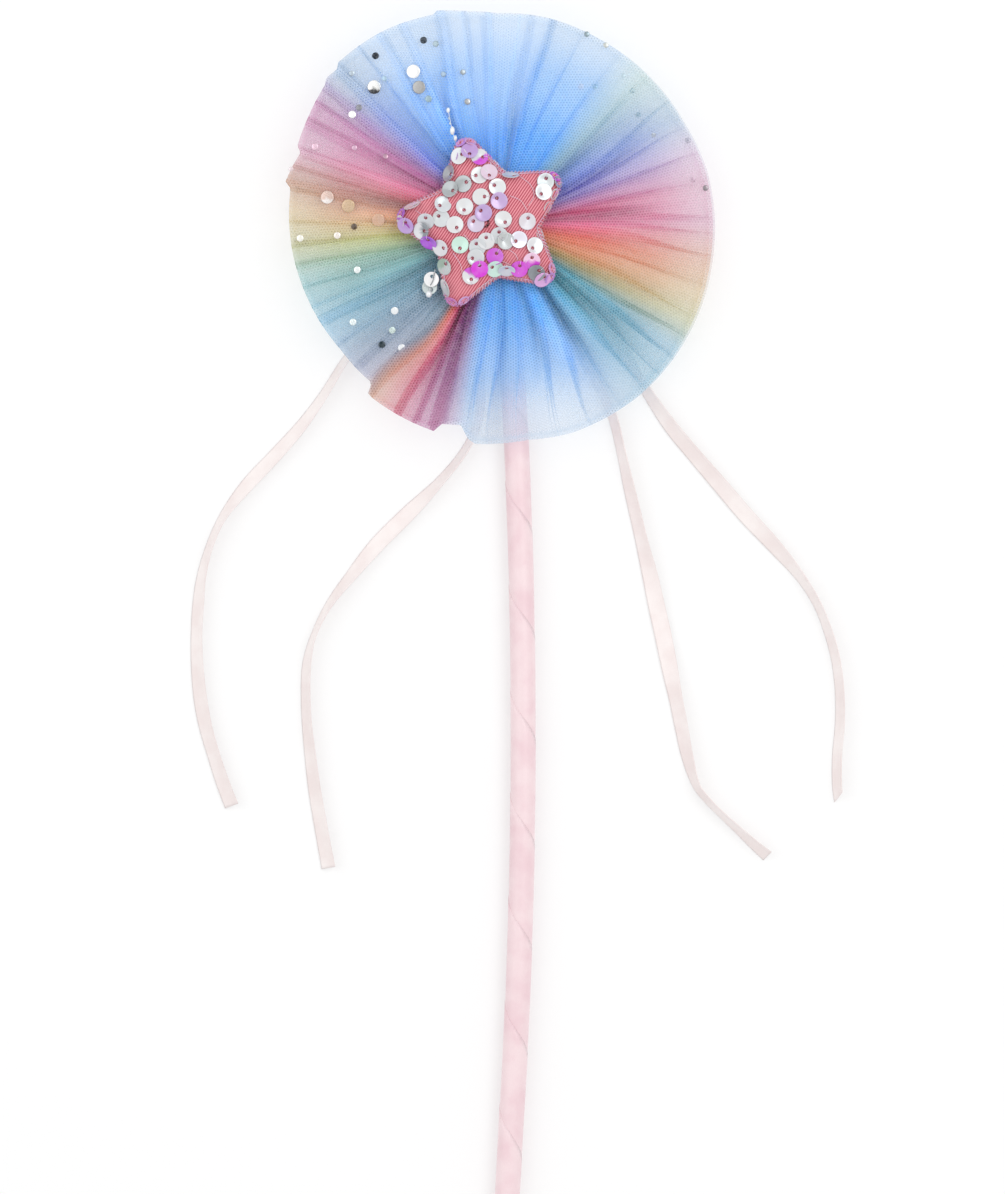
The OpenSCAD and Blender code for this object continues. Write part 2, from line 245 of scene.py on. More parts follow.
def net_holes(n, uv):
    """1 in a hole of the hexagonal net and 0 on its threads. The map is in millimetres."""
    k = 4 * math.pi / (math.sqrt(3) * NET_CELL)
    waves = []
    for degrees in (0, 60, 120):
        a = math.radians(degrees)
        waves.append(n.math("COSINE", n.dot(uv, (k * math.cos(a), k * math.sin(a), 0))))
    total = n.math("ADD", n.math("ADD", waves[0], waves[1]), waves[2])
    return n.range(total, -0.6, 2.0)


def tulle_material(name, see_through=0.45, glow=0.3):
    """Sheer net: colour and density come from the sheet, the holes from its map, with painted shade in the
    holes.
    """
    n = Nodes(name)
    colour, density = n.attribute("tint")
    holes = net_holes(n, n.uv("net"))
    slubs = n.range(n.noise(n.place(), 900, 3.0, 0.6), 0.3, 0.7, 0.02, 0.16)
    thread = n.blend(slubs, colour, (1, 1, 1))
    # painted shade: in the holes the colour is multiplied by itself, darker, like the shaded layers seen
    # through them
    shadow = n.blend(0.5, colour, colour, "MULTIPLY")
    tone = n.blend(holes, thread, shadow)
    alpha = n.math("MULTIPLY", density, n.range(holes, 0.0, 1.0, 1.12, 1.12 - see_through))
    n.finish(tone, Roughness=0.6, Sheen_Weight=0.05, Specular_IOR_Level=0.15)
    through = n.add("ShaderNodeBsdfTranslucent")
    n.put(through.inputs["Color"], tone)
    lit = n.add("ShaderNodeMixShader")
    n.put(lit.inputs[0], glow)
    n.tree.links.new(n.shader.outputs[0], lit.inputs[1])
    n.tree.links.new(through.outputs[0], lit.inputs[2])
    clear = n.add("ShaderNodeBsdfTransparent")
    both = n.add("ShaderNodeMixShader")
    n.put(both.inputs[0], alpha)
    n.tree.links.new(clear.outputs[0], both.inputs[1])
    n.tree.links.new(lit.outputs[0], both.inputs[2])
    n.tree.links.new(both.outputs[0], n.output.inputs["Surface"])
    return n.material


def satin_material(name, colour, pale, weave_scale, line_direction):
    """Satin ribbon: fine floats across, soft sheen, slight unevenness of dye and gloss."""
    n = Nodes(name)
    uv = n.uv("weave")
    lines = n.math("SINE", n.dot(uv, line_direction))
    uneven = n.noise(n.place(), 120, 3.0)
    tone = n.blend(n.range(uneven, 0.3, 0.7), colour, pale)
    fine = n.noise(uv, weave_scale, 2.0)
    tone = n.blend(n.range(fine, 0.3, 0.75, 0.0, 0.10), tone, tuple(c * 0.8 for c in colour))
    tone = n.blend(n.range(lines, -1.0, 1.0, 0.0, 0.06), tone, tuple(c * 0.7 for c in colour))
    rough = n.range(fine, 0.2, 0.8, 0.30, 0.44)
    n.bump(lines, 0.18, 0.00004)
    return n.finish(tone, Roughness=rough, Sheen_Weight=0.25, Sheen_Roughness=0.35,
                    Specular_IOR_Level=0.5, Anisotropic=0.5)


def twill_material():
    """Coral twill: diagonal ribs with painted shade in the grooves and painted light on the ribs, with
    crossing threads.
    """
    n = Nodes("star_twill")
    spot = n.place()
    pitch = 0.7 * MM
    a = math.radians(146)
    across = n.dot(spot, (math.cos(a), math.sin(a), 0))
    along = n.dot(spot, (-math.sin(a), math.cos(a), 0))
    wobble = n.math("MULTIPLY", n.noise(spot, 500, 2.0), 0.12 * MM)
    rib = n.math("SINE", n.math("MULTIPLY", n.math("ADD", across, wobble), 2 * math.pi / pitch))
    cross = n.math("SINE", n.math("MULTIPLY", along, 2 * math.pi / (0.9 * MM)))
    # painted shade and light of the ribs: dark red in the grooves, pale coral on the crowns
    tone = n.blend(n.range(rib, -0.9, 0.7), linear("ad3a4e"), linear("e8949f"))
    tone = n.blend(n.range(cross, 0.2, 1.0, 0.0, 0.16), tone, linear("c4566a"))
    faded = n.noise(spot, 90, 3.0)
    tone = n.blend(n.range(faded, 0.45, 0.75, 0.0, 0.35), tone, linear("e0919b"))
    height = n.math("ADD", rib, n.math("MULTIPLY", cross, 0.35))
    n.bump(height, 0.5, 0.00006)
    return n.finish(tone, Roughness=n.range(rib, -1.0, 1.0, 0.75, 0.55), Sheen_Weight=0.2)


def sequin_material(name, roughness=0.16, metallic=0.15, film=380.0):
    """Thin glossy plastic with a pearly film. Its colour comes from the sequin."""
    n = Nodes(name)
    colour, _ = n.attribute("tint")
    cloud = n.noise(n.place(), 400, 2.0)
    colour = n.blend(n.range(cloud, 0.35, 0.7, 0.0, 0.12), colour, (0.75, 0.85, 0.95))
    rough = n.range(cloud, 0.2, 0.8, roughness, roughness + 0.12)
    return n.finish(colour, Roughness=rough, Metallic=metallic, Coat_Weight=0.35,
                    Coat_Roughness=0.08, Thin_Film_Thickness=film)


def foil_material(name, roughness=0.2, metallic=0.6):
    n = Nodes(name)
    colour, _ = n.attribute("tint")
    grain = n.noise(n.place(), 1500, 2.0)
    colour = n.blend(n.range(grain, 0.35, 0.7, 0.0, 0.15), colour, (0.5, 0.52, 0.56))
    rough = n.range(grain, 0.2, 0.8, roughness, roughness + 0.15)
    return n.finish(colour, Roughness=rough, Metallic=metallic)


def clear_thread_material():
    n = Nodes("clear_thread")
    colour, _ = n.attribute("tint")
    hue = n.noise(n.place(), 600, 2.0)
    tone = n.blend(n.range(hue, 0.35, 0.7, 0.0, 0.3), colour, linear("c58be0"))
    rough = n.range(hue, 0.2, 0.8, 0.12, 0.25)
    return n.finish(tone, Roughness=rough, Alpha=n.range(hue, 0.3, 0.7, 0.70, 0.95),
                    Coat_Weight=0.4)


def felt_material(name, colour):
    n = Nodes(name)
    spot = n.place()
    fuzz = n.noise(spot, 1800, 4.0, 0.7)
    blotch = n.noise(spot, 150, 2.0)
    tone = n.blend(n.range(fuzz, 0.3, 0.7, 0.0, 0.25), colour, tuple(c * 0.7 for c in colour))
    tone = n.blend(n.range(blotch, 0.3, 0.7, 0.0, 0.12), tone, (1, 1, 1))
    n.bump(fuzz, 0.6, 0.0002)
    return n.finish(tone, Roughness=n.range(fuzz, 0.0, 1.0, 0.85, 1.0), Sheen_Weight=0.3)


def glue_material():
    n = Nodes("hot_glue")
    cloud = n.noise(n.place(), 200, 3.0)
    tone = n.blend(n.range(cloud, 0.3, 0.7), linear("e9e4d6"), linear("d8d0bb"))
    n.bump(cloud, 0.3, 0.0004)
    return n.finish(tone, Roughness=n.range(cloud, 0.2, 0.8, 0.25, 0.4),
                    Subsurface_Weight=0.2, Subsurface_Scale=0.002)


def wood_material():
    n = Nodes("dowel_wood")
    spot = n.place()
    stretched = n.add("ShaderNodeMapping")
    n.put(stretched.inputs["Vector"], spot)
    stretched.inputs["Scale"].default_value = (1, 0.06, 1)
    grain = n.noise(stretched.outputs[0], 1400, 4.0, 0.65)
    tone = n.blend(n.range(grain, 0.3, 0.7), linear("d9bc8c"), linear("b98f5d"))
    n.bump(grain, 0.3, 0.0001)
    return n.finish(tone, Roughness=n.range(grain, 0.2, 0.8, 0.5, 0.7))


def yarn_material(name, colour):
    n = Nodes(name)
    spot = n.place()
    ply = n.noise(spot, 2500, 3.0)
    tone = n.blend(n.range(ply, 0.3, 0.7), colour, tuple(c * 0.75 for c in colour))
    n.bump(ply, 0.4, 0.00008)
    return n.finish(tone, Roughness=n.range(ply, 0.0, 1.0, 0.55, 0.8), Sheen_Weight=0.15)


# ---------------------------------------------------------------- mesh helpers
def new_piece(name, points, faces, material, smooth_faces=True):
    mesh = bpy.data.meshes.new(name)
    mesh.from_pydata([tuple(p) for p in points], [], faces)
    mesh.validate()
    mesh.materials.append(material)
    if smooth_faces:
        mesh.polygons.foreach_set("use_smooth", [True] * len(mesh.polygons))
    piece = bpy.data.objects.new(name, mesh)
    bpy.context.collection.objects.link(piece)
    return piece


def set_tint(piece, colours):
    """One colour and density per point."""
    layer = piece.data.color_attributes.new("tint", "FLOAT_COLOR", "POINT")
    layer.data.foreach_set("color", np.array(colours, dtype=np.float32).ravel())


def set_map(piece, name, corner_values):
    """corner_values gives a map coordinate for each corner of each face, in face order."""
    layer = piece.data.uv_layers.new(name=name)
    layer.data.foreach_set("uv", np.array(corner_values, dtype=np.float32).ravel())


class Build:
    """Collects the points, faces, colours and map of a piece made of many small shapes."""

    def __init__(self):
        self.points, self.faces, self.tints, self.map = [], [], [], []

    def add(self, points, faces, tint=(1, 1, 1), coords=None):
        first = len(self.points)
        self.points += [Vector(p) for p in points]
        self.faces += [tuple(first + i for i in f) for f in faces]
        self.tints += [(*tint, 1.0)] * len(points) if np.ndim(tint) == 1 else [(*t, 1.0) for t in tint]
        if coords is not None:
            self.map += [coords[i] for f in faces for i in f]

    def piece(self, name, material, slot, smooth_faces=True):
        made = new_piece(name, self.points, self.faces, material, smooth_faces)
        set_tint(made, self.tints)
        if self.map:
            set_map(made, "weave", self.map)
        return made


def grid_faces(rows, columns, wrap=False):
    """Quads of a grid whose points are stored row by row."""
    out = []
    for r in range(rows - 1):
        for c in range(columns if wrap else columns - 1):
            d = (c + 1) % columns
            out.append((r * columns + c, r * columns + d, (r + 1) * columns + d, (r + 1) * columns + c))
    return out


def tube(centres, radius, sides):
    """Points and faces of a closed round tube along centres."""
    points = []
    for i, centre in enumerate(centres):
        ahead = (centres[min(i + 1, len(centres) - 1)] - centres[max(i - 1, 0)]).normalized()
        side = ahead.cross(Vector((0, 0, 1)))
        if side.length < 0.1:
            side = ahead.cross(Vector((0, 1, 0)))
        side.normalize()
        up = side.cross(ahead)
        for k in range(sides):
            a = 2 * math.pi * k / sides
            points.append(centre + (side * math.cos(a) + up * math.sin(a)) * radius)
    faces = grid_faces(len(centres), sides, wrap=True)
    last = (len(centres) - 1) * sides
    faces.append(tuple(range(sides))[::-1])
    faces.append(tuple(last + k for k in range(sides)))
    return points, faces


# ---------------------------------------------------------------- streamers
RIBBON_W = 5.0
RIBBON_T = 0.26
# x, y from the rosette's centre, height of the middle, roll in degrees, as in the part's source
STREAMERS = {
    "streamer_left_outer": ((-16, -6), [
        (-19, -9.5, 6.9, 3), (-22, -13, 6, 15), (-28, -20, 4.2, 35), (-35, -28, 2.9, 55),
        (-40.5, -34.5, 2.5, 64), (-45, -40, 2.5, 66), (-50.5, -49, 2.4, 60), (-57, -58, 2, 49),
        (-64.5, -66.5, 1.8, 39), (-72.5, -75, 1.8, 39), (-79.5, -84, 2.4, 62),
        (-83.5, -92.5, 2.5, 65), (-86, -101.5, 2.3, 58), (-87, -110, 2.1, 49),
        (-87.5, -119, 2, 49), (-87.3, -127.5, 2, 45), (-86.5, -136.5, 1.8, 39),
        (-85, -145, 1.8, 40), (-82.6, -153.5, 1.9, 42), (-79.8, -162, 1.8, 38),
        (-77.3, -168.5, 1.7, 36)]),
    "streamer_left_inner": ((-9.5, -14), [
        (-8.8, -18.5, 6.9, 3), (-8, -23, 6.2, 15), (-6.8, -32, 4.2, 35), (-5.5, -42, 2.9, 52),
        (-5, -51, 2.5, 62), (-6, -58, 2.5, 65), (-10.5, -66.5, 2.5, 65), (-18, -75.5, 2.3, 56),
        (-26.5, -84, 1.4, 27), (-35, -92.5, 1.4, 27), (-42.5, -101.5, 2.1, 50),
        (-49, -110, 2.5, 66), (-53.5, -119, 2.6, 72), (-55.5, -127.5, 2.4, 60),
        (-55.8, -136.5, 2.3, 58), (-55.4, -145, 2.3, 56), (-54.5, -153.5, 2.1, 50),
        (-53.4, -162.5, 2, 45), (-52, -171, 1.9, 42), (-50.4, -180, 1.8, 40),
        (-49.2, -186.5, 1.8, 38)]),
    "streamer_right_inner": ((12, -13.5), [
        (14, -17.5, 6.9, 3), (16, -21.5, 6.2, 15), (20.5, -30, 4.2, 35), (26, -40, 2.9, 52),
        (30.5, -48.5, 2.5, 61), (33.5, -56, 2.5, 61), (36, -66.5, 2.5, 61), (38, -75.5, 2.3, 53),
        (40, -84, 2.1, 49), (42, -92.5, 2, 45), (44.2, -101.5, 1.4, 27), (46, -110, 0.9, 15),
        (48, -119, 0.7, 10), (49.7, -127.5, 1.1, 20), (51.5, -136.5, 1.8, 39),
        (53.2, -145, 1.9, 42), (55, -154, 2.1, 50), (57.5, -162.3, 2.5, 66), (61, -167, 2.6, 69),
        (65.2, -171.2, 2.6, 69), (70, -175.6, 2.4, 64), (74.5, -179.8, 2.3, 57),
        (78.3, -183, 2.1, 50)]),
    "streamer_right_outer": ((17.5, -4.5), [
        (20.2, -8, 6.9, 3), (22.8, -11.8, 6.2, 15), (28, -20, 4.2, 35), (34, -31, 2.8, 50),
        (39.5, -41.5, 2.4, 56), (43.5, -48.5, 2.3, 55), (50, -58, 1.8, 39), (57, -66.5, 1.7, 36),
        (64.5, -75.2, 1.4, 27), (72, -84, 1.2, 23), (80, -92.6, 1.7, 35), (87.5, -101.5, 2.3, 58),
        (92.8, -110, 2.5, 65), (96.3, -119, 2.4, 63), (98.4, -127.5, 2.4, 62),
        (99.3, -136.5, 2.4, 62), (99.3, -145, 2.3, 60), (98.5, -154, 2.3, 60),
        (98.5, -162.5, 2.3, 60), (99.1, -167.2, 2.3, 60)]),
}
POINTED_END = "streamer_right_outer"  # its end is cut on a slant
SLANT = 2.6       # how far the slant runs along the ribbon, in millimetres
SLANT_RINGS = 5   # the rings that share it
SEWN_Z = 7.03     # height of the sewn ends
ROUTE_STEPS = 5


def through_rows(rows):
    """A smooth curve through a route's rows, as the part's source draws it."""
    p = [np.array(r, float) for r in rows]
    last = len(p) - 1
    out = []
    for i in range(last):
        a, b, c, d = p[max(i - 1, 0)], p[i], p[i + 1], p[min(i + 2, last)]
        for s in range(ROUTE_STEPS):
            f = s / ROUTE_STEPS
            out.append(0.5 * (2 * b + (c - a) * f + (2 * a - 5 * b + 4 * c - d) * f * f
                              + (3 * b - a - 3 * c + d) * f ** 3))
    return out + [p[last]]


def make_streamer(name, anchor, rows, material):
    """A satin ribbon: woven selvedges, a soft curl across, a rounded sewn end and a cut end."""
    heading = Vector((rows[0][0] - anchor[0], rows[0][1] - anchor[1], 0)).normalized()
    start = [anchor[0] - 2.3 * heading.x, anchor[1] - 2.3 * heading.y, SEWN_Z, 0]
    curve = through_rows([start, [*anchor, SEWN_Z, 0], *rows])
    across_n = 10
    build = Build()
    points, coords, run = [], [], 0.0
    centres = [at_hub(*p[:3]) for p in curve]
    for i, (row, centre) in enumerate(zip(curve, centres)):
        ahead = (centres[min(i + 1, len(centres) - 1)] - centres[max(i - 1, 0)]).normalized()
        level = Vector((-ahead.y, ahead.x, 0)).normalized()
        up = ahead.cross(level)
        roll = math.radians(row[3])
        side = level * math.cos(roll) + up * math.sin(roll)
        face = ahead.cross(side)
        run += (centre - centres[i - 1]).length / MM if i else 0.0
        width = RIBBON_W * (min(1.0, 0.6 + 0.2 * i) if i < 3 else 1.0)
        for sheet_side in (1, -1):
            for k in range(across_n + 1):
                s = sheet_side * (k / across_n - 0.5)
                edge = 1 + 0.5 * smooth((abs(s) - 0.42) / 0.06)
                half = sheet_side * RIBBON_T / 2 * edge * 0.8
                curl = 0.18 * (4 * s * s - 0.3) * (1 - abs(math.sin(roll)) * 0.6)
                lean = max(0.0, 1 - (len(curve) - 1 - i) / SLANT_RINGS)
                slant = (s + 0.5) * SLANT * MM * lean if name == POINTED_END else 0
                points.append(centre + side * (s * width * MM) + face * ((half + curl) * MM) - ahead * slant)
                coords.append((s * width, run))
    ring = 2 * (across_n + 1)
    faces = grid_faces(len(curve), ring, wrap=True)
    last = (len(curve) - 1) * ring
    for k in range(across_n):
        faces.append((k + 1, k, ring - 1 - k, ring - 2 - k))
        faces.append((last + k, last + k + 1, last + ring - 2 - k, last + ring - 1 - k))
    build.add(points, faces, coords=coords)
    ribbon = build.piece(name + "_satin", material, "ribbon_satin")
    for face in list(ribbon.data.polygons)[-2 * across_n:]:
        face.use_smooth = False  # the flat cut ends
    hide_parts(name)
    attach(ribbon, name)


# ---------------------------------------------------------------- the rosette
# The dyes of the rainbow: colour by the star and at the rim
DYES = {
    "sky": ("70b0e0", "d0e0f0"), "mist": ("90b0c0", "d0e0e0"), "iris": ("8090d0", "c0d0e0"),
    "lilac": ("a090c0", "e0d0e0"), "pink": ("d080a0", "e0c0d0"), "coral": ("d08070", "e0c0b0"),
    "amber": ("d0a080", "e0d0b0"), "olive": ("b0a070", "d0d0b0"), "teal": ("60a0b0", "b0d0e0"),
    "plum": ("804080", "d0a0c0"), "rose": ("c05080", "e0a0b0"), "dove": ("90a0b0", "c0c0d0"),
    "sage": ("90b0a0", "b0d0d0"), "lemon": ("c0c080", "d0d0b0"), "brick": ("b06060", "d0b0a0"),
    "orchid": ("c080b0", "d0a0c0"),
}
# Where each dye is purest, in degrees clockwise from +Y
RAINBOW = [
    (0, "sky"), (35, "sky"), (45, "mist"), (60, "iris"), (70, "lilac"), (80, "pink"),
    (90, "pink"), (100, "coral"), (110, "amber"), (117, "olive"), (125, "teal"),
    (135, "teal"), (150, "sky"), (190, "sky"), (197, "plum"), (201, "plum"), (209, "rose"),
    (216, "coral"), (221, "dove"), (240, "teal"), (255, "sage"), (264, "lemon"),
    (274, "amber"), (283, "brick"), (291, "pink"), (303, "orchid"), (313, "iris"),
    (325, "sky"), (360, "sky"),
]
# The boldest folds by the star: direction, width in degrees, and the depth of their painted shade.
# Below nought the depth is a painted highlight on the cloth between two folds.
PAINTED_FOLD_SHADE = [
    (8, 2.5, 0.12), (46, 4, 0.02), (62, 2.5, 0.10), (85, 2.5, 0.20), (92, 3, -0.04), (117, 2.5, 0.14),
    (125, 2, -0.14), (133, 3, 0.12), (139, 3.5, -0.18), (146, 3.5, 0.26), (153, 3, -0.16),
    (161, 3, 0.14), (178, 3, 0.06), (193, 2, -0.10), (199, 3, 0.2), (206, 2, 0.25), (213, 2.5, -0.14),
    (221, 2, 0.2), (240, 3, 0.22), (247, 3, -0.14), (275, 3, -0.14), (281, 3, 0.24), (287, 3, -0.12),
    (298, 2.5, 0.12), (306, 2, 0.10), (322, 3, 0.10), (333, 2, -0.12), (336, 2, 0.14),
]
# Direction in degrees clockwise from +Y, reach of the hem in millimetres
HEM = [
    (0, 61.2), (12, 61.6), (30, 61.2), (60, 60.9), (75, 61.9), (100, 62.4), (118, 63),
    (140, 64), (160, 64), (172, 63), (186, 63.8), (188, 62.6), (190.5, 59), (196.3, 60),
    (197.2, 62.6), (216, 62), (217.8, 61.6), (218.4, 58.6), (232, 58.2), (250, 59.2),
    (262, 60), (280, 61), (281.5, 62.8), (287, 61.6), (290, 60.8), (291.5, 62.4), (300, 63.2),
    (309, 64.4), (310.5, 65.4), (314, 64.8), (315.5, 66), (330, 65.2), (343, 63.6),
    (344, 64.4), (352, 62.4), (360, 61.2),
]
INNER_R = 6.0
RIM_R = 62.0
DEEPEN = 0.5  # how much steep cloth gains in colour
HEM_W = 0.5   # the cut edge, which shows as a fine denser line
OPENING = ((24, 1.7), (36, 1.2), (48, 0.5), (60, 0.06))  # right of the glitter the folds open out
# Folds of the front sheet: direction at the rim, direction by the star, width of the
# turned-under strip, and which side lies on top (1 the anticlockwise side, -1 the other)
FRONT_FOLDS = [
    (9, 5, 2.4, 1), (15, 10, 2.6, 1), (24, 21, 0.6, -1), (35, 33, 0.5, 1), (45, 47, 0.8, 1),
    (54, 63, 3.0, 1), (62, 66, 1.0, 1), (70, 71, 1.6, 1), (78, 77, 0.6, 1), (88, 84, 2.4, 1),
    (92, 88, 1.4, 1), (98, 92, 2.2, 1), (106, 103, 0.5, 1), (115, 110, 1.8, 1), (121, 124, 2.0, -1),
    (127, 124.5, 3.2, -1), (133, 131, 0.8, -1), (138, 137.5, 3.0, -1), (146, 144, 0.8, -1),
    (155, 145.5, 3.4, -1), (164, 156, 1.6, -1), (175, 168, 0.8, -1), (183, 178, 1.0, -1),
    (189, 187, 1.2, -1), (196.5, 200, 4.5, 1), (203, 202, 1.4, 1), (208, 203, 2.6, 1),
    (217.5, 207, 4.0, 1), (225, 222, 2.2, -1), (233, 229, 1.2, 1), (241.4, 237, 3.2, 1),
    (246, 243, 1.2, 1), (252, 249, 1.0, 1), (258.5, 254, 2.4, 1), (264, 263, 1.4, 1),
    (271, 269, 1.2, 1), (280.8, 279.5, 3.2, 1), (286, 285, 1.4, 1), (290.5, 291, 2.8, 1),
    (298.6, 299, 2.6, 1), (304, 302, 1.4, 1), (308.5, 305, 2.8, 1), (314.7, 311, 3.2, 1),
    (322, 321, 1.0, 1), (328, 324, 2.0, 1), (334.4, 331.3, 2.8, 1), (344.5, 336, 3.0, 1),
    (351, 347, 1.4, 1), (357.5, 356, 2.6, -1),
]


def by_angle(c, table, column):
    """A value from a table whose rows start with a direction, for many directions."""
    return np.interp(c % 360, [row[0] for row in table], [row[column] for row in table])


def by_radius(r, stops):
    return np.interp(r, [s[0] for s in stops], [s[1] for s in stops])


def eased(value, low, high):
    f = np.clip((value - low) / (high - low), 0, 1)
    return f * f * (3 - 2 * f)


TONES = [[(at, *linear(DYES[dye][k])) for at, dye in RAINBOW] for k in (0, 1)]
VIVID = 1.08  # net looks paler than its dye, because the table and the light show through it
GAIN = ((24, 1.22), (44, 1.10), (60, 0.94))
SLANT_AT = 214  # the dye's bands run aslant beside the edge of the front sheet


def painted_fold_shade(c, r):
    """Painted shade in the folds and painted highlight on the crowns by the star, as a brightness factor."""
    total = sum(depth * np.exp(-(((c - at + 180) % 360 - 180) / wide) ** 2) for at, wide, depth in PAINTED_FOLD_SHADE)
    return 1 - 1.4 * total * (1 - eased(r, 28, 50))


def palette(c, r):
    """Colours of the rainbow tulle at directions and distances, with painted shade and highlight at the folds
    by the star.
    """
    c = c + 10 * np.exp(-((c % 360 - SLANT_AT) / 9) ** 2) * (1 - eased(r, 28, 56))
    deep, pale = (np.stack([by_angle(c, tone, k) for k in (1, 2, 3)], axis=-1) for tone in TONES)
    middle = mix(deep, pale, 0.42)
    colour = mix(deep, middle, eased(r, 24, 42)[..., None])
    colour = mix(colour, pale, eased(r, 42, 60)[..., None])
    grey = colour.mean(axis=-1, keepdims=True)
    dyed = grey + (colour - grey) * VIVID
    # the dye times a gain by radius and the painted fold shade and highlight
    bright = by_radius(r, GAIN) * painted_fold_shade(c, r)
    return np.clip(dyed * bright[..., None], 0.02, 1)


def waves(seed, count, low, high):
    """A smooth random wave round the rosette, about from -1 to 1."""
    rng = random.Random(seed)
    parts = [(rng.randint(low, high), rng.uniform(0, 6.283), rng.uniform(0.5, 1)) for _ in range(count)]
    size = sum(p[2] for p in parts) * 0.55
    return lambda c: sum(a * np.sin(k * np.radians(c) + shift) for k, shift, a in parts) / size


GATHERS = waves(51, 7, 38, 84)      # tight gathers by the hub
HUDDLE = waves(52, 5, 3, 11)        # where they bunch together
PLEATS = waves(53, 6, 16, 36)       # soft pleats that run further out
FLUTTER = waves(54, 5, 5, 12)       # slow waves of the hem
STICK_X = 5.0                       # the stick passes under the rosette here


class Sheet:
    """A gathered sheet: panels round the hub, joined by turned-under strips."""

    rows = 36
    column = 0.5  # degrees

    def __init__(self, folds, height, hem, closed=True, lift=1.0):
        self.folds = sorted(folds)
        self.height, self.hem, self.closed, self.lift = height, hem, closed, lift

    def middle(self, i, r):
        """Direction of fold i at radii r."""
        n = len(self.folds)
        rim, inner, _, _ = self.folds[i % n]
        return 360 * (i // n) + mix(inner, rim, eased(r, 18, 60))

    def half(self, i, r):
        """Half the width of fold i's turned-under strip, in degrees."""
        rim, _, width, _ = self.folds[i % len(self.folds)]
        here = self.middle(i, r)
        room = np.minimum(here - self.middle(i - 1, r), self.middle(i + 1, r) - here)
        opening = by_radius(r, OPENING if 16 < rim < 194 else ((0, 1), (70, 1)))
        return np.minimum(np.degrees(opening * width / 2 / np.maximum(r, 12)), 0.42 * room)

    def columns(self):
        """Panel number, share across it, share into the strip after it, and the cloth's own angle."""
        n = len(self.folds)
        out = []
        last = n if self.closed else n - 1
        for i in range(last):
            wide = float(self.middle(i + 1, RIM_R) - self.middle(i, RIM_R))
            cells = max(6, round(wide / self.column))
            start = float(self.middle(i, RIM_R))
            out += [(i, k / cells, 0.0, start + wide * k / cells) for k in range(cells + 1)]
            if self.closed or i < last - 1:
                out += [(i, 1.0, f, start + wide) for f in (0.3, 0.7)]
        return out

    def surface(self, c, r, own, level):
        """Height of the sheet in millimetres."""
        spread = by_radius(r, ((6, 0.4), (30, 1.1), (62, 0.8)))
        z = by_radius(r, self.height) + level * self.lift * spread
        bunch = 0.75 + 0.35 * HUDDLE(own)
        folds = 0.55 * bunch * GATHERS(own) * by_radius(r, ((6, 1), (26, 1), (36, 0.5), (48, 0.1)))
        folds += 0.75 * PLEATS(own)
        z += folds * by_radius(r, ((6, 0.3), (22, 0.9), (30, 1.25), (38, 1.7), (50, 1.2), (62, 0.6)))
        z += 0.75 * FLUTTER(own) * eased(r, 24, 60)
        a = np.radians(c)
        off_stick = (r * np.sin(a) - STICK_X) / 8
        over_stick = (np.cos(a) < 0) * np.exp(-off_stick ** 2)
        return z + 2.4 * over_stick * eased(r, 40, 60)

    def build(self, name, material, slot, tint):
        cols = self.columns()
        t = np.append(np.linspace(0, 1 - HEM_W / RIM_R, self.rows - 1), 1)
        guess = mix(INNER_R, RIM_R, t)
        shape = (self.rows, len(cols))
        c, level = np.zeros(shape), np.zeros(shape)
        n = len(self.folds)
        for m, (i, share, under, _) in enumerate(cols):
            start = self.middle(i, guess) - self.half(i, guess)
            end = self.middle(i + 1, guess) + self.half(i + 1, guess)
            low_start = self.folds[i % n][3] > 0
            high_end = self.folds[(i + 1) % n][3] > 0
            level_a, level_b = float(not low_start), float(high_end)
            c[:, m] = mix(start, end, share) - 2 * self.half(i + 1, guess) * under
            level[:, m] = mix(level_a, level_b, share) + 0.3 * math.sin(math.pi * share) * (under == 0)
            if under:
                level[:, m] = mix(level_b, 1 - level_b, under)
        own = np.broadcast_to(np.array([col[3] for col in cols]), shape)
        r = mix(INNER_R, by_angle(c[-1], self.hem, 1)[None, :], t[:, None])
        z = self.surface(c, r, own, level)
        a = np.radians(c)
        place = np.stack([r * np.sin(a), r * np.cos(a), z], axis=-1)
        steep = self.flatness(place, cols)
        colour, density = tint(c, r, own)
        depth = 1 / steep
        density = 1 - (1 - density) ** depth
        colour = colour ** (1 + DEEPEN * (depth - 1))[..., None]
        density[-2:] += 0.2
        points = place.reshape(-1, 3) * MM + np.array((HUB.x, HUB.y, TABLE_Z))
        faces = grid_faces(self.rows, len(cols), wrap=self.closed)
        piece = new_piece(name, points, faces, material)
        set_tint(piece, np.dstack([np.clip(colour, 0, 1), np.clip(density, 0, 1)]).reshape(-1, 4))
        self.crease(piece, cols)
        self.lay_map(piece, cols, c, r)
        piece.visible_shadow = False  # light passes through net with hardly a shadow
        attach(piece, WAND)
        return piece

    def flatness(self, place, cols):
        """How level the sheet lies at each point, so that steep cloth can look denser."""
        step = place[:, 1:] - place[:, :-1]
        across = np.empty_like(place)
        across[:, 1:] = step
        across[:, 0] = step[:, 0]
        opens = np.array([share == 0.0 for _, share, _, _ in cols[:-1]] + [False])
        across[:, opens] = step[:, opens[:-1]]
        normal = np.cross(across, np.gradient(place, axis=0))
        level = np.abs(normal[..., 2]) / np.maximum(np.linalg.norm(normal, axis=-1), 1e-9)
        strip = np.array([col[2] > 0 for col in cols])
        return np.where(strip, 0.55, np.clip(level, 0.45, 1))

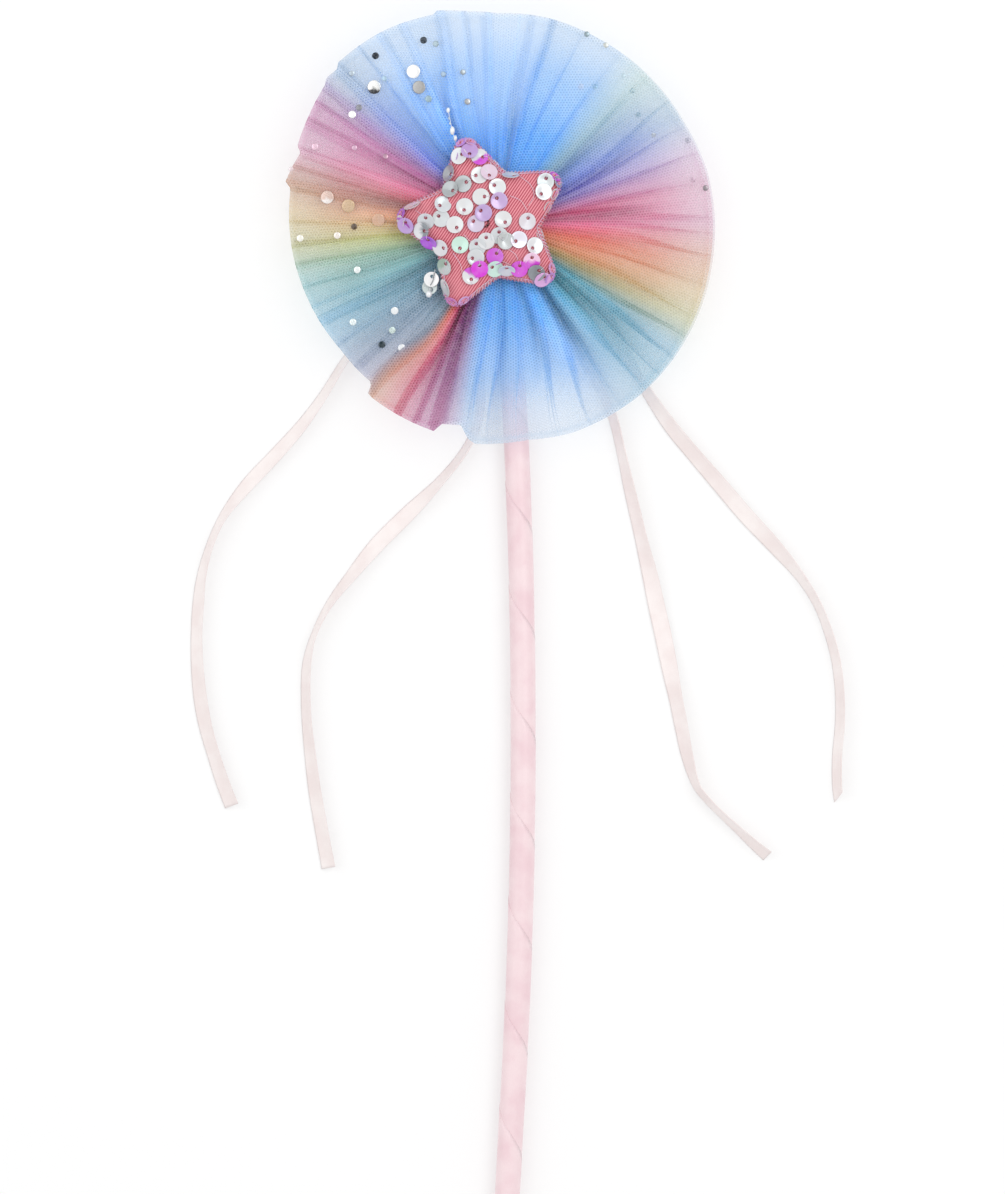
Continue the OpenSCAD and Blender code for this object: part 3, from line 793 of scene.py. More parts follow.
    def crease(self, piece, cols):
        """Sharp edges where the cloth turns under."""
        flags = np.array([under == 0 and share in (0.0, 1.0) for _, share, under, _ in cols])
        wide = len(cols)
        pairs = np.empty(len(piece.data.edges) * 2, dtype=np.int32)
        piece.data.edges.foreach_get("vertices", pairs)
        m = pairs.reshape(-1, 2) % wide
        sharp = (m[:, 0] == m[:, 1]) & flags[m[:, 0]]
        layer = piece.data.attributes.new("sharp_edge", "BOOLEAN", "EDGE")
        layer.data.foreach_set("value", sharp)

    def lay_map(self, piece, cols, c, r):
        """A map in millimetres whose rows run straight out along each panel."""
        wide = len(cols)
        panel = np.array([col[0] for col in cols])
        centre = (self.middle_of(panel) + self.middle_of(panel + 1)) / 2
        corners = np.empty(len(piece.data.loops), dtype=np.int32)
        piece.data.loops.foreach_get("vertex_index", corners)
        starts = np.empty(len(piece.data.polygons), dtype=np.int32)
        piece.data.polygons.foreach_get("loop_start", starts)
        owner = np.repeat(corners[starts] % wide, 4)
        turn = np.radians(c.ravel()[corners] - centre[owner])
        turn = (turn + np.pi) % (2 * np.pi) - np.pi
        reach = r.ravel()[corners]
        set_map(piece, "net", np.stack([reach * np.sin(turn), reach * np.cos(turn)], axis=-1))

    def middle_of(self, panel):
        n = len(self.folds)
        rims = np.array([f[0] for f in self.folds])
        return 360.0 * (panel // n) + rims[panel % n]


def loosened(folds, seed, keep, width):
    """The same folds again, a little moved, some of them dropped."""
    rng = random.Random(seed)
    out = []
    for rim, inner, wide, side in folds:
        moved = (rim + rng.uniform(-1.2, 1.2), inner + rng.uniform(-0.5, 0.5))
        kept = rng.random() < keep
        if kept:
            out.append((*moved, wide * width * rng.uniform(0.6, 1.3), side))
    return out


FRONT_HEIGHT = ((6, 11.7), (14, 11.8), (24, 11.4), (34, 11.5), (48, 10.6), (65, 8.6))
MIDDLE_HEIGHT = ((6, 10.7), (24, 10.4), (34, 10.2), (48, 9.0), (65, 7.0))
BACK_HEIGHT = ((6, 9.8), (24, 9.5), (34, 9.0), (48, 7.5), (65, 5.4))
GLITTER_HEIGHT = ((6, 12.4), (24, 12.2), (34, 12.6), (48, 12.0), (65, 10.0))


def top_haze(c):
    """1 in the pale sector at the top, where the front tulle has lost its colour."""
    turned = (c + 180) % 360 - 180
    return eased(turned, -17, -10) * (1 - eased(turned, 9, 15))


def sheer_patch(c, r):
    """1 low down, where the tulle is so sheer that the stick shows through it."""
    return eased(c % 360, 142, 162) * (1 - eased(c % 360, 182, 190)) * eased(r, 38, 54)


def front_tint(c, r, own):
    haze = top_haze(c) * eased(r, 24, 34)
    colour = mix(palette(c, r), linear("dde3ec"), 0.4 * haze[..., None])
    density = by_radius(r, ((20, 0.82), (32, 0.72), (44, 0.58), (54, 0.48), (63, 0.44)))
    density = density * (1 - 0.25 * haze) * (1 - 0.45 * sheer_patch(c, r))
    return colour, density * (1 + 0.06 * PLEATS(own + 7))


def middle_tint(c, r, own):
    colour = palette(c + 1.5, r - 3)
    density = by_radius(r, ((20, 0.80), (40, 0.58), (62, 0.36)))
    return colour, density * (1 - 0.5 * sheer_patch(c, r)) * (1 + 0.06 * PLEATS(own + 19))


def back_tint(c, r, own):
    colour = mix(palette(c, r), linear("e2ecf4"), 0.45)
    density = by_radius(r, ((20, 0.80), (45, 0.50), (62, 0.36)))
    return colour, density * (1 - 0.5 * sheer_patch(c, r)) * (1 + 0.06 * PLEATS(own + 31))


def glitter_tint(c, r, own):
    colour = np.clip(mix(palette(c, r), linear("e6e8f0"), 0.25) * 1.15, 0, 1)
    density = by_radius(r, ((24, 0.32), (40, 0.26), (62, 0.26)))
    return colour, density * (1 + 0.08 * PLEATS(own + 43))


def make_rosette():
    net = tulle_material("tulle_net")
    sheer = tulle_material("tulle_glitter_net", see_through=0.6)
    right_hem = [(c, r - 0.2 + 0.9 * smooth((c - 20) / 20) * smooth((150 - c) / 20)) for c, r in HEM]
    short_hem = [(c, r - 1.0) for c, r in HEM]
    glitter_hem = [(c, r - 0.3) for c, r in HEM]
    glitter_folds = [f for f in loosened(FRONT_FOLDS, 31, 1.0, 0.6) if f[0] > 227]
    glitter_folds += [(219.5, 219, 1.2, 1), (366, 362, 1.0, 1), (374, 370, 1.2, 1)]
    sheets = {
        "tulle_back": Sheet(loosened(FRONT_FOLDS, 14, 0.6, 0.9), BACK_HEIGHT, right_hem),
        "tulle_middle": Sheet(loosened(FRONT_FOLDS, 19, 0.8, 1.0), MIDDLE_HEIGHT, short_hem),
        "tulle_front": Sheet(FRONT_FOLDS, FRONT_HEIGHT, HEM),
        "tulle_glitter": Sheet(glitter_folds, GLITTER_HEIGHT, glitter_hem, closed=False, lift=0.6),
    }
    looks = {
        "tulle_back": (net, back_tint, "tulle_back_layer", 0.41),
        "tulle_middle": (net, middle_tint, "tulle_middle_layer", 0.43),
        "tulle_front": (net, front_tint, "tulle_front_layer", 0.45),
        "tulle_glitter": (sheer, glitter_tint, "glitter_tulle_layer", 0.19),
    }
    made = {}
    for slot, sheet in sheets.items():
        look, tint, node, cut_length = looks[slot]
        made[slot] = sheet.build(node + "_net", look, slot, tint)
        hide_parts(node)
    return made


# ---------------------------------------------------------------- confetti
# Direction, distance, radius, colour, and for some a second colour in the lower part:
# painted reflection, dark on the silver dot, and painted highlight, pale on the pearl
CONFETTI = [
    (331, 50.5, 2.0, "f6f6f6"), (318, 53.5, 2.0, "ececea", "3a3a3c"), (330, 45.7, 1.9, "a9a9a8"),
    (279, 50, 1.9, "dcc0b4", "f4ece8"), (277, 43.6, 1.9, "d6b896"), (272, 34.6, 1.9, "dab298"),
    (324, 60.3, 1.0, "16202c"), (338, 57.5, 1.0, "24303c"), (316, 60.9, 0.8, "b8c6d2"),
    (307, 52.8, 1.1, "fbfbfb"), (310, 52.5, 0.9, "8a8a92"), (341, 55.2, 0.9, "9fb2bc"),
    (347, 45.1, 0.8, "9aa4aa"), (346, 36.5, 0.9, "a4a6a8"), (322, 53.4, 0.8, "a8c4d8"),
    (331, 41.4, 1.0, "98b4c2"), (340, 46.1, 0.8, "9ab0c4"), (266, 46.6, 1.0, "f4ece4"),
    (266, 57.4, 1.0, "f6f4ea"), (269, 41.6, 0.9, "5a4a38"), (252, 42.8, 1.0, "f0f6f6"),
    (230, 39, 1.1, "f4f8fa"), (236, 50.6, 1.0, "e8f2f4"), (225, 43.3, 1.0, "cfe0dc"),
    (224, 48.3, 1.0, "1c3038"), (218, 45.3, 1.1, "f2f4f6"), (293, 57.5, 1.0, "e9c4d6"),
    (301, 37.9, 0.8, "b890a4"), (285, 62, 0.7, "e8d8dc"), (298, 47, 0.8, "d8b0c8"),
    (45, 55, 0.8, "9eb4c0"), (40, 56.4, 0.7, "c4d4da"), (66, 60.2, 0.8, "8e949c"),
    (77, 58, 0.8, "c0b0bc"), (25, 60.8, 0.8, "8ea0a8"), (31, 60.6, 0.8, "c8ccc8"),
    (31, 46.6, 0.9, "d8d4dc"), (35, 48.8, 0.8, "a0bcc0"), (52, 51.5, 0.8, "86a4b4"),
    (80, 61, 0.8, "8c8288"), (14, 50, 0.7, "c4d0d6"), (60, 52, 0.7, "c8c4b4"),
]


def resting_place(trees, spot):
    """The highest place on the sheets below a spot, with its normal."""
    hits = [t.ray_cast(spot, Vector((0, 0, -1))) for t in trees]
    return max(((h[0], h[1]) for h in hits if h[0] is not None), key=lambda h: h[0].z, default=None)


def make_confetti(sheets):
    """Thin glossy dots fused to the net, each lying on the highest sheet under it."""
    foil = foil_material("confetti_foil")
    trees = [BVHTree.FromObject(s, bpy.context.evaluated_depsgraph_get()) for s in sheets]
    big, small = Build(), Build()
    sides = 20
    for c, r, size, code, *more in CONFETTI:
        spot = clock(c, r, 40)
        under_front = resting_place(trees[2:], spot) if c < 100 else None
        place, normal = under_front or resting_place(trees[:2], spot)
        normal = normal if normal.z > 0 else -normal
        turn = Vector((0, 0, 1)).rotation_difference(normal.lerp(Vector((0, 0, 1)), 0.4).normalized())
        points, tints = [], []
        for ring, z in ((1.0, 0.04), (1.0, 0.16), (0.9, 0.2), (0.45, 0.24)):
            for k in range(sides):
                a = 2 * math.pi * k / sides
                local = Vector((size * ring * math.cos(a), size * ring * math.sin(a), z)) * MM
                points.append(place + turn @ local)
                # a second colour paints the lower part: painted reflection on the silver dot, painted
                # highlight on the pearl
                tints.append(tuple(linear(more[0] if more and math.sin(a) * ring < -0.3 else code)))
        faces = grid_faces(4, sides, wrap=True)
        faces += [tuple(range(sides))[::-1], tuple(3 * sides + k for k in range(sides))]
        (big if size > 1.5 else small).add(points, faces, tint=tints)
    kinds = ((big, "confetti_large", "confetti_silver"), (small, "confetti_small", "confetti_pearl"))
    for build, node, slot in kinds:
        piece = build.piece(node + "_dots", foil, slot)
        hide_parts(node)
        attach(piece, WAND)


# ---------------------------------------------------------------- the star
STAR_R = 25.3
STAR_NOTCH_R = 16.0
STAR_TIP_R = 3.7
STAR_TURN = 104  # first point's direction, anticlockwise from +X
SEAM_Z = FELT_TOP + 1.6
CROWN = COVER_TOP - SEAM_Z - 0.3


def star_outline(steps=9, grow=0.0):
    """The star's outline in millimetres from its centre: rounded points and soft notches."""
    out = []
    d = STAR_R - STAR_TIP_R
    notch, tip = STAR_NOTCH_R + grow, STAR_TIP_R + grow
    nx, ny = notch * math.cos(math.radians(36)), notch * math.sin(math.radians(36))
    half = math.pi / 2 - math.atan2(ny, d - nx) + math.asin(tip / math.hypot(d - nx, ny))
    for i in range(5):
        a = math.radians(STAR_TURN + 72 * i)
        centre = np.array((math.cos(a), math.sin(a))) * d
        for k in range(steps):
            b = a - half + 2 * half * k / (steps - 1)
            out.append(centre + tip * np.array((math.cos(b), math.sin(b))))
        b = a + math.radians(36)
        out.append(notch * np.array((math.cos(b), math.sin(b))))
    return out


def even_outline(count, grow=0.0):
    """The outline again as points the same distance apart, softened at the notches."""
    p = np.array(star_outline(grow=grow))
    p = np.vstack([p, p[:1]])
    run = np.concatenate([[0], np.cumsum(np.linalg.norm(np.diff(p, axis=0), axis=1))])
    s = np.linspace(0, run[-1], count, endpoint=False)
    q = np.stack([np.interp(s, run, p[:, 0]), np.interp(s, run, p[:, 1])], axis=1)
    for _ in range(max(2, count // 60)):
        q = (np.roll(q, 1, axis=0) + 2 * q + np.roll(q, -1, axis=0)) / 4
    return q


class Pillow:
    """The stuffed star's height: a membrane blown up inside its outline."""

    cell = 0.5
    reach = 28.0

    def __init__(self):
        axis = np.arange(-self.reach, self.reach + 0.01, self.cell)
        x, y = np.meshgrid(axis, axis)
        inside = np.zeros(x.shape, bool)
        q = np.array(star_outline())
        for (xa, ya), (xb, yb) in zip(q, np.roll(q, -1, axis=0)):
            if ya == yb:
                continue
            crosses = ((ya > y) != (yb > y)) & (x < (xb - xa) * (y - ya) / (yb - ya) + xa)
            inside ^= crosses
        u = np.zeros(x.shape)
        for _ in range(900):
            u = (np.roll(u, 1, 0) + np.roll(u, -1, 0) + np.roll(u, 1, 1) + np.roll(u, -1, 1)) / 4 + 0.01
            u[~inside] = 0
        self.field = (u / u.max()) ** 0.42

    def at(self, x, y):
        """From 0 at the outline to 1 at the crown."""
        fx, fy = (x + self.reach) / self.cell, (y + self.reach) / self.cell
        i, j = int(fx), int(fy)
        a, b = fx - i, fy - j
        f = self.field
        return mix(mix(f[j, i], f[j, i + 1], a), mix(f[j + 1, i], f[j + 1, i + 1], a), b)

    def top(self, x, y):
        return SEAM_Z + CROWN * self.at(x, y)

    def normal(self, x, y):
        e = 0.8
        dx = (self.top(x + e, y) - self.top(x - e, y)) / (2 * e)
        dy = (self.top(x, y + e) - self.top(x, y - e)) / (2 * e)
        return Vector((-dx, -dy, 1)).normalized()


def at_star(x, y, z):
    return at_hub(STAR_OFF_X + x, y, z)


def make_star(pillow):
    """The padded cover: a crowned top, seam puckers, and an under side flat on its felt."""
    count, rings = 260, 26
    q = even_outline(count)
    points, rng = [], random.Random(5)
    pucker = [rng.uniform(-1, 1) for _ in range(count)]
    for k in range(rings + 1):
        f = 1 - (k / rings) ** 1.5
        for i, (x, y) in enumerate(q):
            px, py = x * f, y * f
            z = pillow.top(px, py) if k else SEAM_Z
            depth = (1 - f) * math.hypot(x, y)
            tuck = 0.22 * math.sin(i * 2 * math.pi * 52 / count) * math.exp(-depth / 1.6) * (k > 0)
            z += tuck + 0.05 * pucker[i] * math.exp(-depth / 3)
            points.append(at_star(px, py, z))
            if f <= 0:
                break
    points = points[:rings * count + 1]
    centre = rings * count
    faces = grid_faces(rings, count, wrap=True)
    faces = [tuple(reversed(f)) for f in faces]
    faces += [(centre, (rings - 1) * count + i, (rings - 1) * count + (i + 1) % count) for i in range(count)]
    first = len(points)
    under = ((1.0, -0.5), (0.985, -1.0), (0.94, -1.45), (0.86, -1.6), (0.5, -1.6))
    for f, drop in under:
        points += [at_star(x * f, y * f, SEAM_Z + drop) for x, y in q]
    points.append(at_star(0, 0, SEAM_Z - 1.6))
    for k in range(len(under)):
        a = first + (k - 1) * count if k else 0
        b = first + k * count
        for i in range(count):
            j = (i + 1) % count
            faces.append((a + i, b + i, b + j, a + j))
    last = first + (len(under) - 1) * count
    faces += [(len(points) - 1, last + (i + 1) % count, last + i) for i in range(count)]
    star = new_piece("star_cover_twill", points, faces, twill_material())
    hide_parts("star_cover", "star_pad")
    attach(star, WAND)
    return star


def edge_tint(x, y):
    """Clear thread, violet at the points and pink along the arms, with a painted sheen that turns it paler or
    deeper along the outline.
    """
    turn = math.degrees(math.atan2(y, x))
    tip = smooth((math.hypot(x, y) - 20.5) / 3)
    # painted sheen: the thread's glints come and go along the outline between two tints
    sheen = 0.5 + 0.5 * math.sin(math.radians(turn * 7)) * math.cos(math.radians(turn * 3 + 40))
    arm = mix(linear("f2dfe8"), linear("e8a9b8"), sheen)
    point = mix(linear("dd97d6"), linear("f0c0d8"), sheen)
    return tuple(mix(arm, point, tip))


def make_edge_thread(pillow):
    """Clear thread whipped close over the seam, and the bight that locks its turns."""
    turns, steps, sides = 150, 10, 5
    q = even_outline(turns * steps, grow=0.05)
    rng = random.Random(8)
    build = Build()
    whip, bight = [], []
    for i, (x, y) in enumerate(q):
        a = 2 * math.pi * i / steps
        out = np.array((x, y)) / math.hypot(x, y)
        reach = 0.85 + 0.2 * math.sin(i * 0.037) + rng.uniform(-0.05, 0.05)
        px, py = np.array((x, y)) + out * (0.25 - reach * 0.75 + reach * 0.75 * math.cos(a))
        over = max(pillow.top(px, py), SEAM_Z) + 0.16
        z = over if math.sin(a) > 0 else SEAM_Z - 0.7 * abs(math.sin(a))
        whip.append(at_star(px, py, mix(SEAM_Z, z, smooth(abs(math.sin(a)) * 2.5))))
        bx, by = np.array((x, y)) - out * (reach * 1.15)
        bight.append(at_star(bx, by, pillow.top(bx, by) + 0.2 + 0.06 * math.sin(a)))
    for line, radius in ((whip, 0.17), (bight, 0.13)):
        points, faces = tube(line, radius * MM, sides)
        faces = faces[:-2]
        last = (len(line) - 1) * sides
        faces += [(last + k, last + (k + 1) % sides, (k + 1) % sides, k) for k in range(sides)]
        tints = [edge_tint(x, y) for x, y in q for _ in range(sides)]
        build.add(points, faces, tint=tints)
    thread = build.piece("star_edge_thread_turns", CLEAR, "clear_thread")
    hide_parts("star_edge_thread")
    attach(thread, WAND)


# x, y from the star's centre, direction of the hole, tilt, colour, and for some the
# direction that they tilt away from, or a second colour and the direction it covers
WHITE, PEARL, PINKISH, GREENISH = "dedbdd", "d2d2d5", "e0c6d6", "c8e2d6"
LILAC, MAGENTA, SILVER, GREY = "bd95d2", "d13fd0", "c4c8c8", "a9aeb0"
SEQUINS = {
    "white": [
        (-7.4, 19.4, 30, 4, WHITE), (-1.6, 19.1, 0, 6, WHITE, {"second": MAGENTA, "part": 305}),
        (-1.6, 13.8, 185, 3, WHITE), (1.2, 14.7, 270, 8, PINKISH), (3.6, 10.4, 150, 4, WHITE),
        (7.4, 13.7, 0, 52, PEARL, {"away": 90}), (-1.1, 7.5, 5, 3, WHITE), (-5.8, 4.7, 260, 3, WHITE),
        (-2.6, -0.2, 135, 6, "d3c2d8"), (5.3, 1.0, 305, 4, WHITE), (-12.1, 5.4, 205, 22, PEARL),
        (-12.6, 1.3, 135, 6, PEARL), (-8.6, -0.5, 300, 4, WHITE), (-17, 0.6, 90, 25, PEARL),
        (-2.1, -6.9, 110, 10, PEARL), (0.4, -5.2, 90, 8, WHITE), (4.1, -3.6, 90, 12, PEARL),
        (-2.6, -10, 190, 5, PEARL), (9.8, -4.8, 205, 5, "e2dae6"), (14.4, -6.5, 225, 4, WHITE),
        (2.9, -13.2, 145, 8, GREENISH), (17.5, 12, 80, 10, PEARL), (16.9, 9.1, 225, 5, WHITE),
        (12.2, 0.5, 75, 6, "dcd3da"), (-12.8, -7.1, 0, 6, WHITE), (-7.1, -6.3, 265, 4, GREENISH),
        # the grey part of this white sequin is painted shade on its crumpled side
        (-18.3, -2.2, 0, 15, WHITE, {"second": "8e9092", "part": 0}),
        (-21, 4.9, 20, 52, PEARL, {"away": 110}), (-4, -15.2, 275, 6, WHITE, {"second": MAGENTA, "part": 60}),
        (6.3, -13.6, 90, 40, PEARL, {"away": 270}), (-11.3, -18.4, 75, 50, PEARL, {"away": 205}),
    ],
    "lilac": [
        (-4.4, 20.9, 270, 10, LILAC), (4.1, 6.4, 130, 6, "c0a4d4"), (-0.4, 2.9, 140, 4, "b99bd0"),
        (-22.8, -0.6, 90, 6, LILAC),
    ],
    "magenta": [
        (-16.2, -5.5, 95, 5, "ad52dc"), (2.9, -9.6, 60, 8, "cf62d8"), (-1.5, -13.2, 90, 6, "da44d8"),
        (9.9, -13.2, 80, 5, "d543d6"), (13.5, -10.9, 85, 10, "f0cbe4", {"second": MAGENTA, "part": 270}),
        (16.6, -16.2, 60, 20, "d9a4dc", {"away": 315}),
    ],
    "silver": [
        (-10.4, 14.4, 340, 4, GREY), (-6.2, 11.3, 30, 5, GREY), (-10, 9.8, 330, 5, GREY),
        (-11.6, -12.5, 60, 10, SILVER, {"second": "9fb3a6", "part": 120}), (6, -5.2, 150, 12, SILVER),
        (14.9, -14.3, 40, 12, "85898e"),
    ],
}
# Sequins caught by the edge stitching: direction from the centre, colour, kind
EDGE_SEQUINS = [
    (116, LILAC, "lilac"), (107, "c88ad8", "lilac"), (99, "e3a6c8", "magenta"), (86, "cf6ad2", "magenta"),
    (79, "e6dde6", "white"), (70.5, PEARL, "white"), (41, "c77fd8", "lilac"), (34, MAGENTA, "magenta"),
    (29, "b9b4c0", "silver"), (21.5, WHITE, "white"), (13, PEARL, "white"), (350, PEARL, "white"),
    (327, "dba6d8", "lilac"), (320, "c688d6", "lilac"), (312, "e8c4de", "magenta"),
    (256, "e0b0d8", "lilac"), (247, "d68fd2", "magenta"), (239, PEARL, "white"),
    (184, "b03ab8", "magenta"), (179, WHITE, "white"), (173, "b46cd6", "lilac"),
]
SEQUIN_R = 2.5
HOLE_OFF = 1.0
HOLE_R = 0.52


def sequin_shape(centre, normal, hole_deg, first, second=None, second_deg=0.0, radius=SEQUIN_R):
    """Points, faces and colours of one cupped sequin with an off-centre hole."""
    sides, bands = 24, (0.0, 0.08, 0.5, 0.92, 1.0)
    h = math.radians(hole_deg)
    hole = np.array((math.cos(h), math.sin(h))) * HOLE_OFF * radius / SEQUIN_R
    turn = Vector((0, 0, 1)).rotation_difference(normal)
    points, tints = [], []
    s = math.radians(second_deg)
    tones = (linear(first), linear(second or first))
    for z_side in (0.09, -0.09):
        for f in (bands if z_side > 0 else bands[::-1]):
            for k in range(sides):
                a = 2 * math.pi * k / sides
                rim = np.array((math.cos(a), math.sin(a)))
                p = mix(hole + rim * HOLE_R, rim * radius, f)
                cup = 0.28 * (p @ p) / radius ** 2
                edge = 0.55 if f in (0.0, 1.0) else 1.0
                local = Vector((p[0], p[1], cup + z_side * edge)) * MM
                points.append(centre + turn @ local)
                part = p[0] * math.cos(s) + p[1] * math.sin(s) > 0.25
                tints.append(tuple(tones[part]))
    rows = 2 * len(bands)
    faces = grid_faces(rows, sides, wrap=True)
    last = (rows - 1) * sides
    faces += [(last + k, last + (k + 1) % sides, (k + 1) % sides, k) for k in range(sides)]
    return points, faces, tints


def edge_point(degrees, inset):
    """A point just inside the star's outline in a direction, with the way out of the seam there."""
    q = even_outline(720)
    turn = np.degrees(np.arctan2(q[:, 1], q[:, 0])) - degrees
    i = int(np.argmin(np.abs((turn + 180) % 360 - 180)))
    step = q[(i + 8) % 720] - q[i - 8]
    out = Vector((step[1], -step[0], 0)).normalized()
    return q[i][0] - out.x * inset, q[i][1] - out.y * inset, out


def make_sequins(pillow):
    """Sequins laid on the pillow one over another, each with its thread loop."""
    threads = Build()
    looks = {
        "white": sequin_material("sequin_pearl"),
        "lilac": sequin_material("sequin_lilac_film", film=420.0),
        "magenta": sequin_material("sequin_magenta_film", metallic=0.3, film=300.0),
        "silver": sequin_material("sequin_silver_film", metallic=0.5, film=0.0),
    }
    laid = []
    for kind, items in SEQUINS.items():
        build = Build()
        for x, y, hole, tilt, first, *more in items:
            extra = more[0] if more else {}
            normal = pillow.normal(x, y)
            a = math.radians(extra.get("away", hole + 180))
            lean = math.tan(math.radians(tilt))
            normal = (normal + Vector((math.cos(a), math.sin(a), 0)) * lean).normalized()
            near = sum(1 for px, py in laid if math.hypot(px - x, py - y) < 4.8)
            laid.append((x, y))
            centre = at_star(x, y, pillow.top(x, y) + 0.25 + 0.17 * min(near, 3) + 0.012 * tilt)
            disc = sequin_shape(centre, normal, hole, first, extra.get("second"), extra.get("part", 0))
            build.add(*disc[:2], tint=disc[2])
            add_loop(threads, centre, normal, hole)
        for degrees, colour, edge_kind in EDGE_SEQUINS:
            if edge_kind == kind:
                x, y, out = edge_point(degrees, 0.9)
                normal = (out * 0.9 + Vector((0, 0, 0.55))).normalized()
                centre = at_star(x, y, SEAM_Z + 1.5)
                disc = sequin_shape(centre, normal, degrees + 90, colour, radius=1.8)
                build.add(*disc[:2], tint=disc[2])
        piece = build.piece("sequins_" + kind + "_discs", looks[kind], "sequin_" + kind)
        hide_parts("sequins_" + kind)
        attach(piece, WAND)
    for path in LOOSE_THREADS:
        line = through_rows([(x, y, pillow.top(x, y) + 0.5) for x, y in path])
        build_line(threads, [at_star(*point) for point in line], 0.08)
    loops = threads.piece("sequin_threads_loops", CLEAR, "clear_thread")
    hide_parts("sequin_threads")
    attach(loops, WAND)


# Slack stitches that run from sequin to sequin, from the star's centre
LOOSE_THREADS = [
    [(10, 13.6), (13.2, 11), (14.2, 7.8), (12.6, 5)], [(7.2, 7.9), (10.4, 6.4), (12.2, 3.6)],
    [(-20, 3.8), (-17.6, 2.2), (-15.4, 2.4)], [(-9.2, -8.6), (-7, -12), (-6.4, -15.6)],
    [(6.4, -7.4), (8.8, -9), (9.6, -11)], [(-6, -3.4), (-4.2, -5.2), (-2.8, -5.4)],
    [(4.4, -10.8), (6.4, -11.6), (8, -12.4)],
]


def build_line(build, line, radius):
    points, faces = tube(line, radius * MM, 5)
    build.add(points, faces, tint=tuple(linear("f0dfe8")))


def add_loop(build, centre, normal, hole_deg):
    """A clear thread from the sequin's hole over its nearer edge."""
    turn = Vector((0, 0, 1)).rotation_difference(normal)
    a = math.radians(hole_deg)
    line = []
    for k in range(9):
        f = k / 8
        out = mix(HOLE_OFF, SEQUIN_R + 0.25, f)
        z = -0.15 + 0.75 * math.sin(math.pi * f) ** 0.7
        line.append(centre + turn @ (Vector((out * math.cos(a), out * math.sin(a), z)) * MM))
    build_line(build, line, 0.07)


# Beads on the two short strands: x, y from the star's centre, height, size, length, colour
BEADS = [
    (-16.2, -20.3, 15.2, 0.95, 1.1, "eceef0"), (-15.7, -18.9, 15.0, 0.6, 1.2, "aab2b4"),
    (-9.4, 26.9, 15.4, 0.75, 1.7, "f0f2f2"), (-8.5, 24.7, 15.6, 0.55, 1.6, "e4e8ea"),
    (-10.6, 32.8, 14.8, 0.55, 1.5, "f0f4f4"), (-10.3, 30.5, 15.0, 0.35, 1.3, "b8c8d0"),
    (-10.0, 29.0, 15.2, 0.35, 1.3, "c8d8e0"),
]


def add_bead(build, x, y, z, size, length, code):
    rows, sides = 9, 14
    ball = []
    for j in range(rows):
        b = math.pi * (j + 0.35) / (rows - 0.3)
        for k in range(sides):
            a = 2 * math.pi * k / sides
            side, up = size * math.sin(b) * math.cos(a), size * math.cos(b)
            ball.append(at_star(x + side, y + size * length * math.sin(b) * math.sin(a), z + up))
    shell = [tuple(reversed(f)) for f in grid_faces(rows, sides, wrap=True)]
    shell += [tuple(range(sides)), tuple((rows - 1) * sides + k for k in range(sides))[::-1]]
    build.add(ball, shell, tint=tuple(linear(code)))


def make_dangles():
    """The loose sequin with its bead, and the short bead strand by the top point."""
    build = Build()
    up = Vector((-0.1, 0.05, 1)).normalized()
    for x, y, z, hole, first in ((-15.9, -18.3, 15.0, 300, "c9d3d2"), (-15.4, -16.1, 15.9, 80, "f0f0f0")):
        points, faces, tints = sequin_shape(at_star(x, y, z), up, hole, first, radius=2.2)
        build.add(points, faces, tint=tints)
    arc = through_rows([(-14.6, -14.2, 16.5), (-14.9, -16.2, 16.6), (-15.7, -17.8, 16.4)])
    points, faces = tube([at_star(*p) for p in arc], 0.12 * MM, 6)
    build.add(points, faces, tint=tuple(linear("6d7478")))
    for bead in BEADS:
        add_bead(build, *bead)
    strands = ([(-8.4, 23.4, 15.6), (-9.4, 26.9, 15.4), (-10.6, 32.8, 14.8)],
               [(-14.3, -13.2, 16), (-15.4, -16.6, 15.9), (-16.2, -20.3, 15.2)])
    for strand in strands:
        points, faces = tube([at_star(*p) for p in through_rows(strand)], 0.09 * MM, 6)
        build.add(points, faces, tint=tuple(linear("e6e8ec")))
    piece = build.piece("dangling_beads_strand", foil_material("bead_silver", 0.15, 0.25), "bead_silver")
    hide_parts("dangling_beads")
    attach(piece, WAND)


# ---------------------------------------------------------------- the stick
BOW_R = 1815.0
APEX = (7.3, -148.0)  # millimetres from the rosette's centre
WRAP_IN, WRAP_OUT = 3.2, 3.725
STICK_TOP, STICK_END = 15.0, -289.45
GRIP_LEN = 40.0
PITCH = 30.2
OVERLAP = 3.0
WRAP_LEN = 304.2
WRAP_THICK = 0.12
START_TURN = -27.0  # puts the seams where the wand shows them


def stick_point(run):
    """Centre and direction of the stick at a distance from its top end, in millimetres."""
    top_a = math.asin((STICK_TOP - APEX[1]) / BOW_R)
    end_a = math.asin((STICK_END + GRIP_LEN - APEX[1]) / BOW_R)
    a = top_a - run / BOW_R
    beyond = max(0.0, (end_a - a) * BOW_R)
    a = max(a, end_a)
    along = Vector((math.sin(a), -math.cos(a), 0))
    x = APEX[0] - BOW_R + BOW_R * math.cos(a) + along.x * beyond
    y = APEX[1] + BOW_R * math.sin(a) + along.y * beyond
    return Vector((x, y, WRAP_OUT)), along


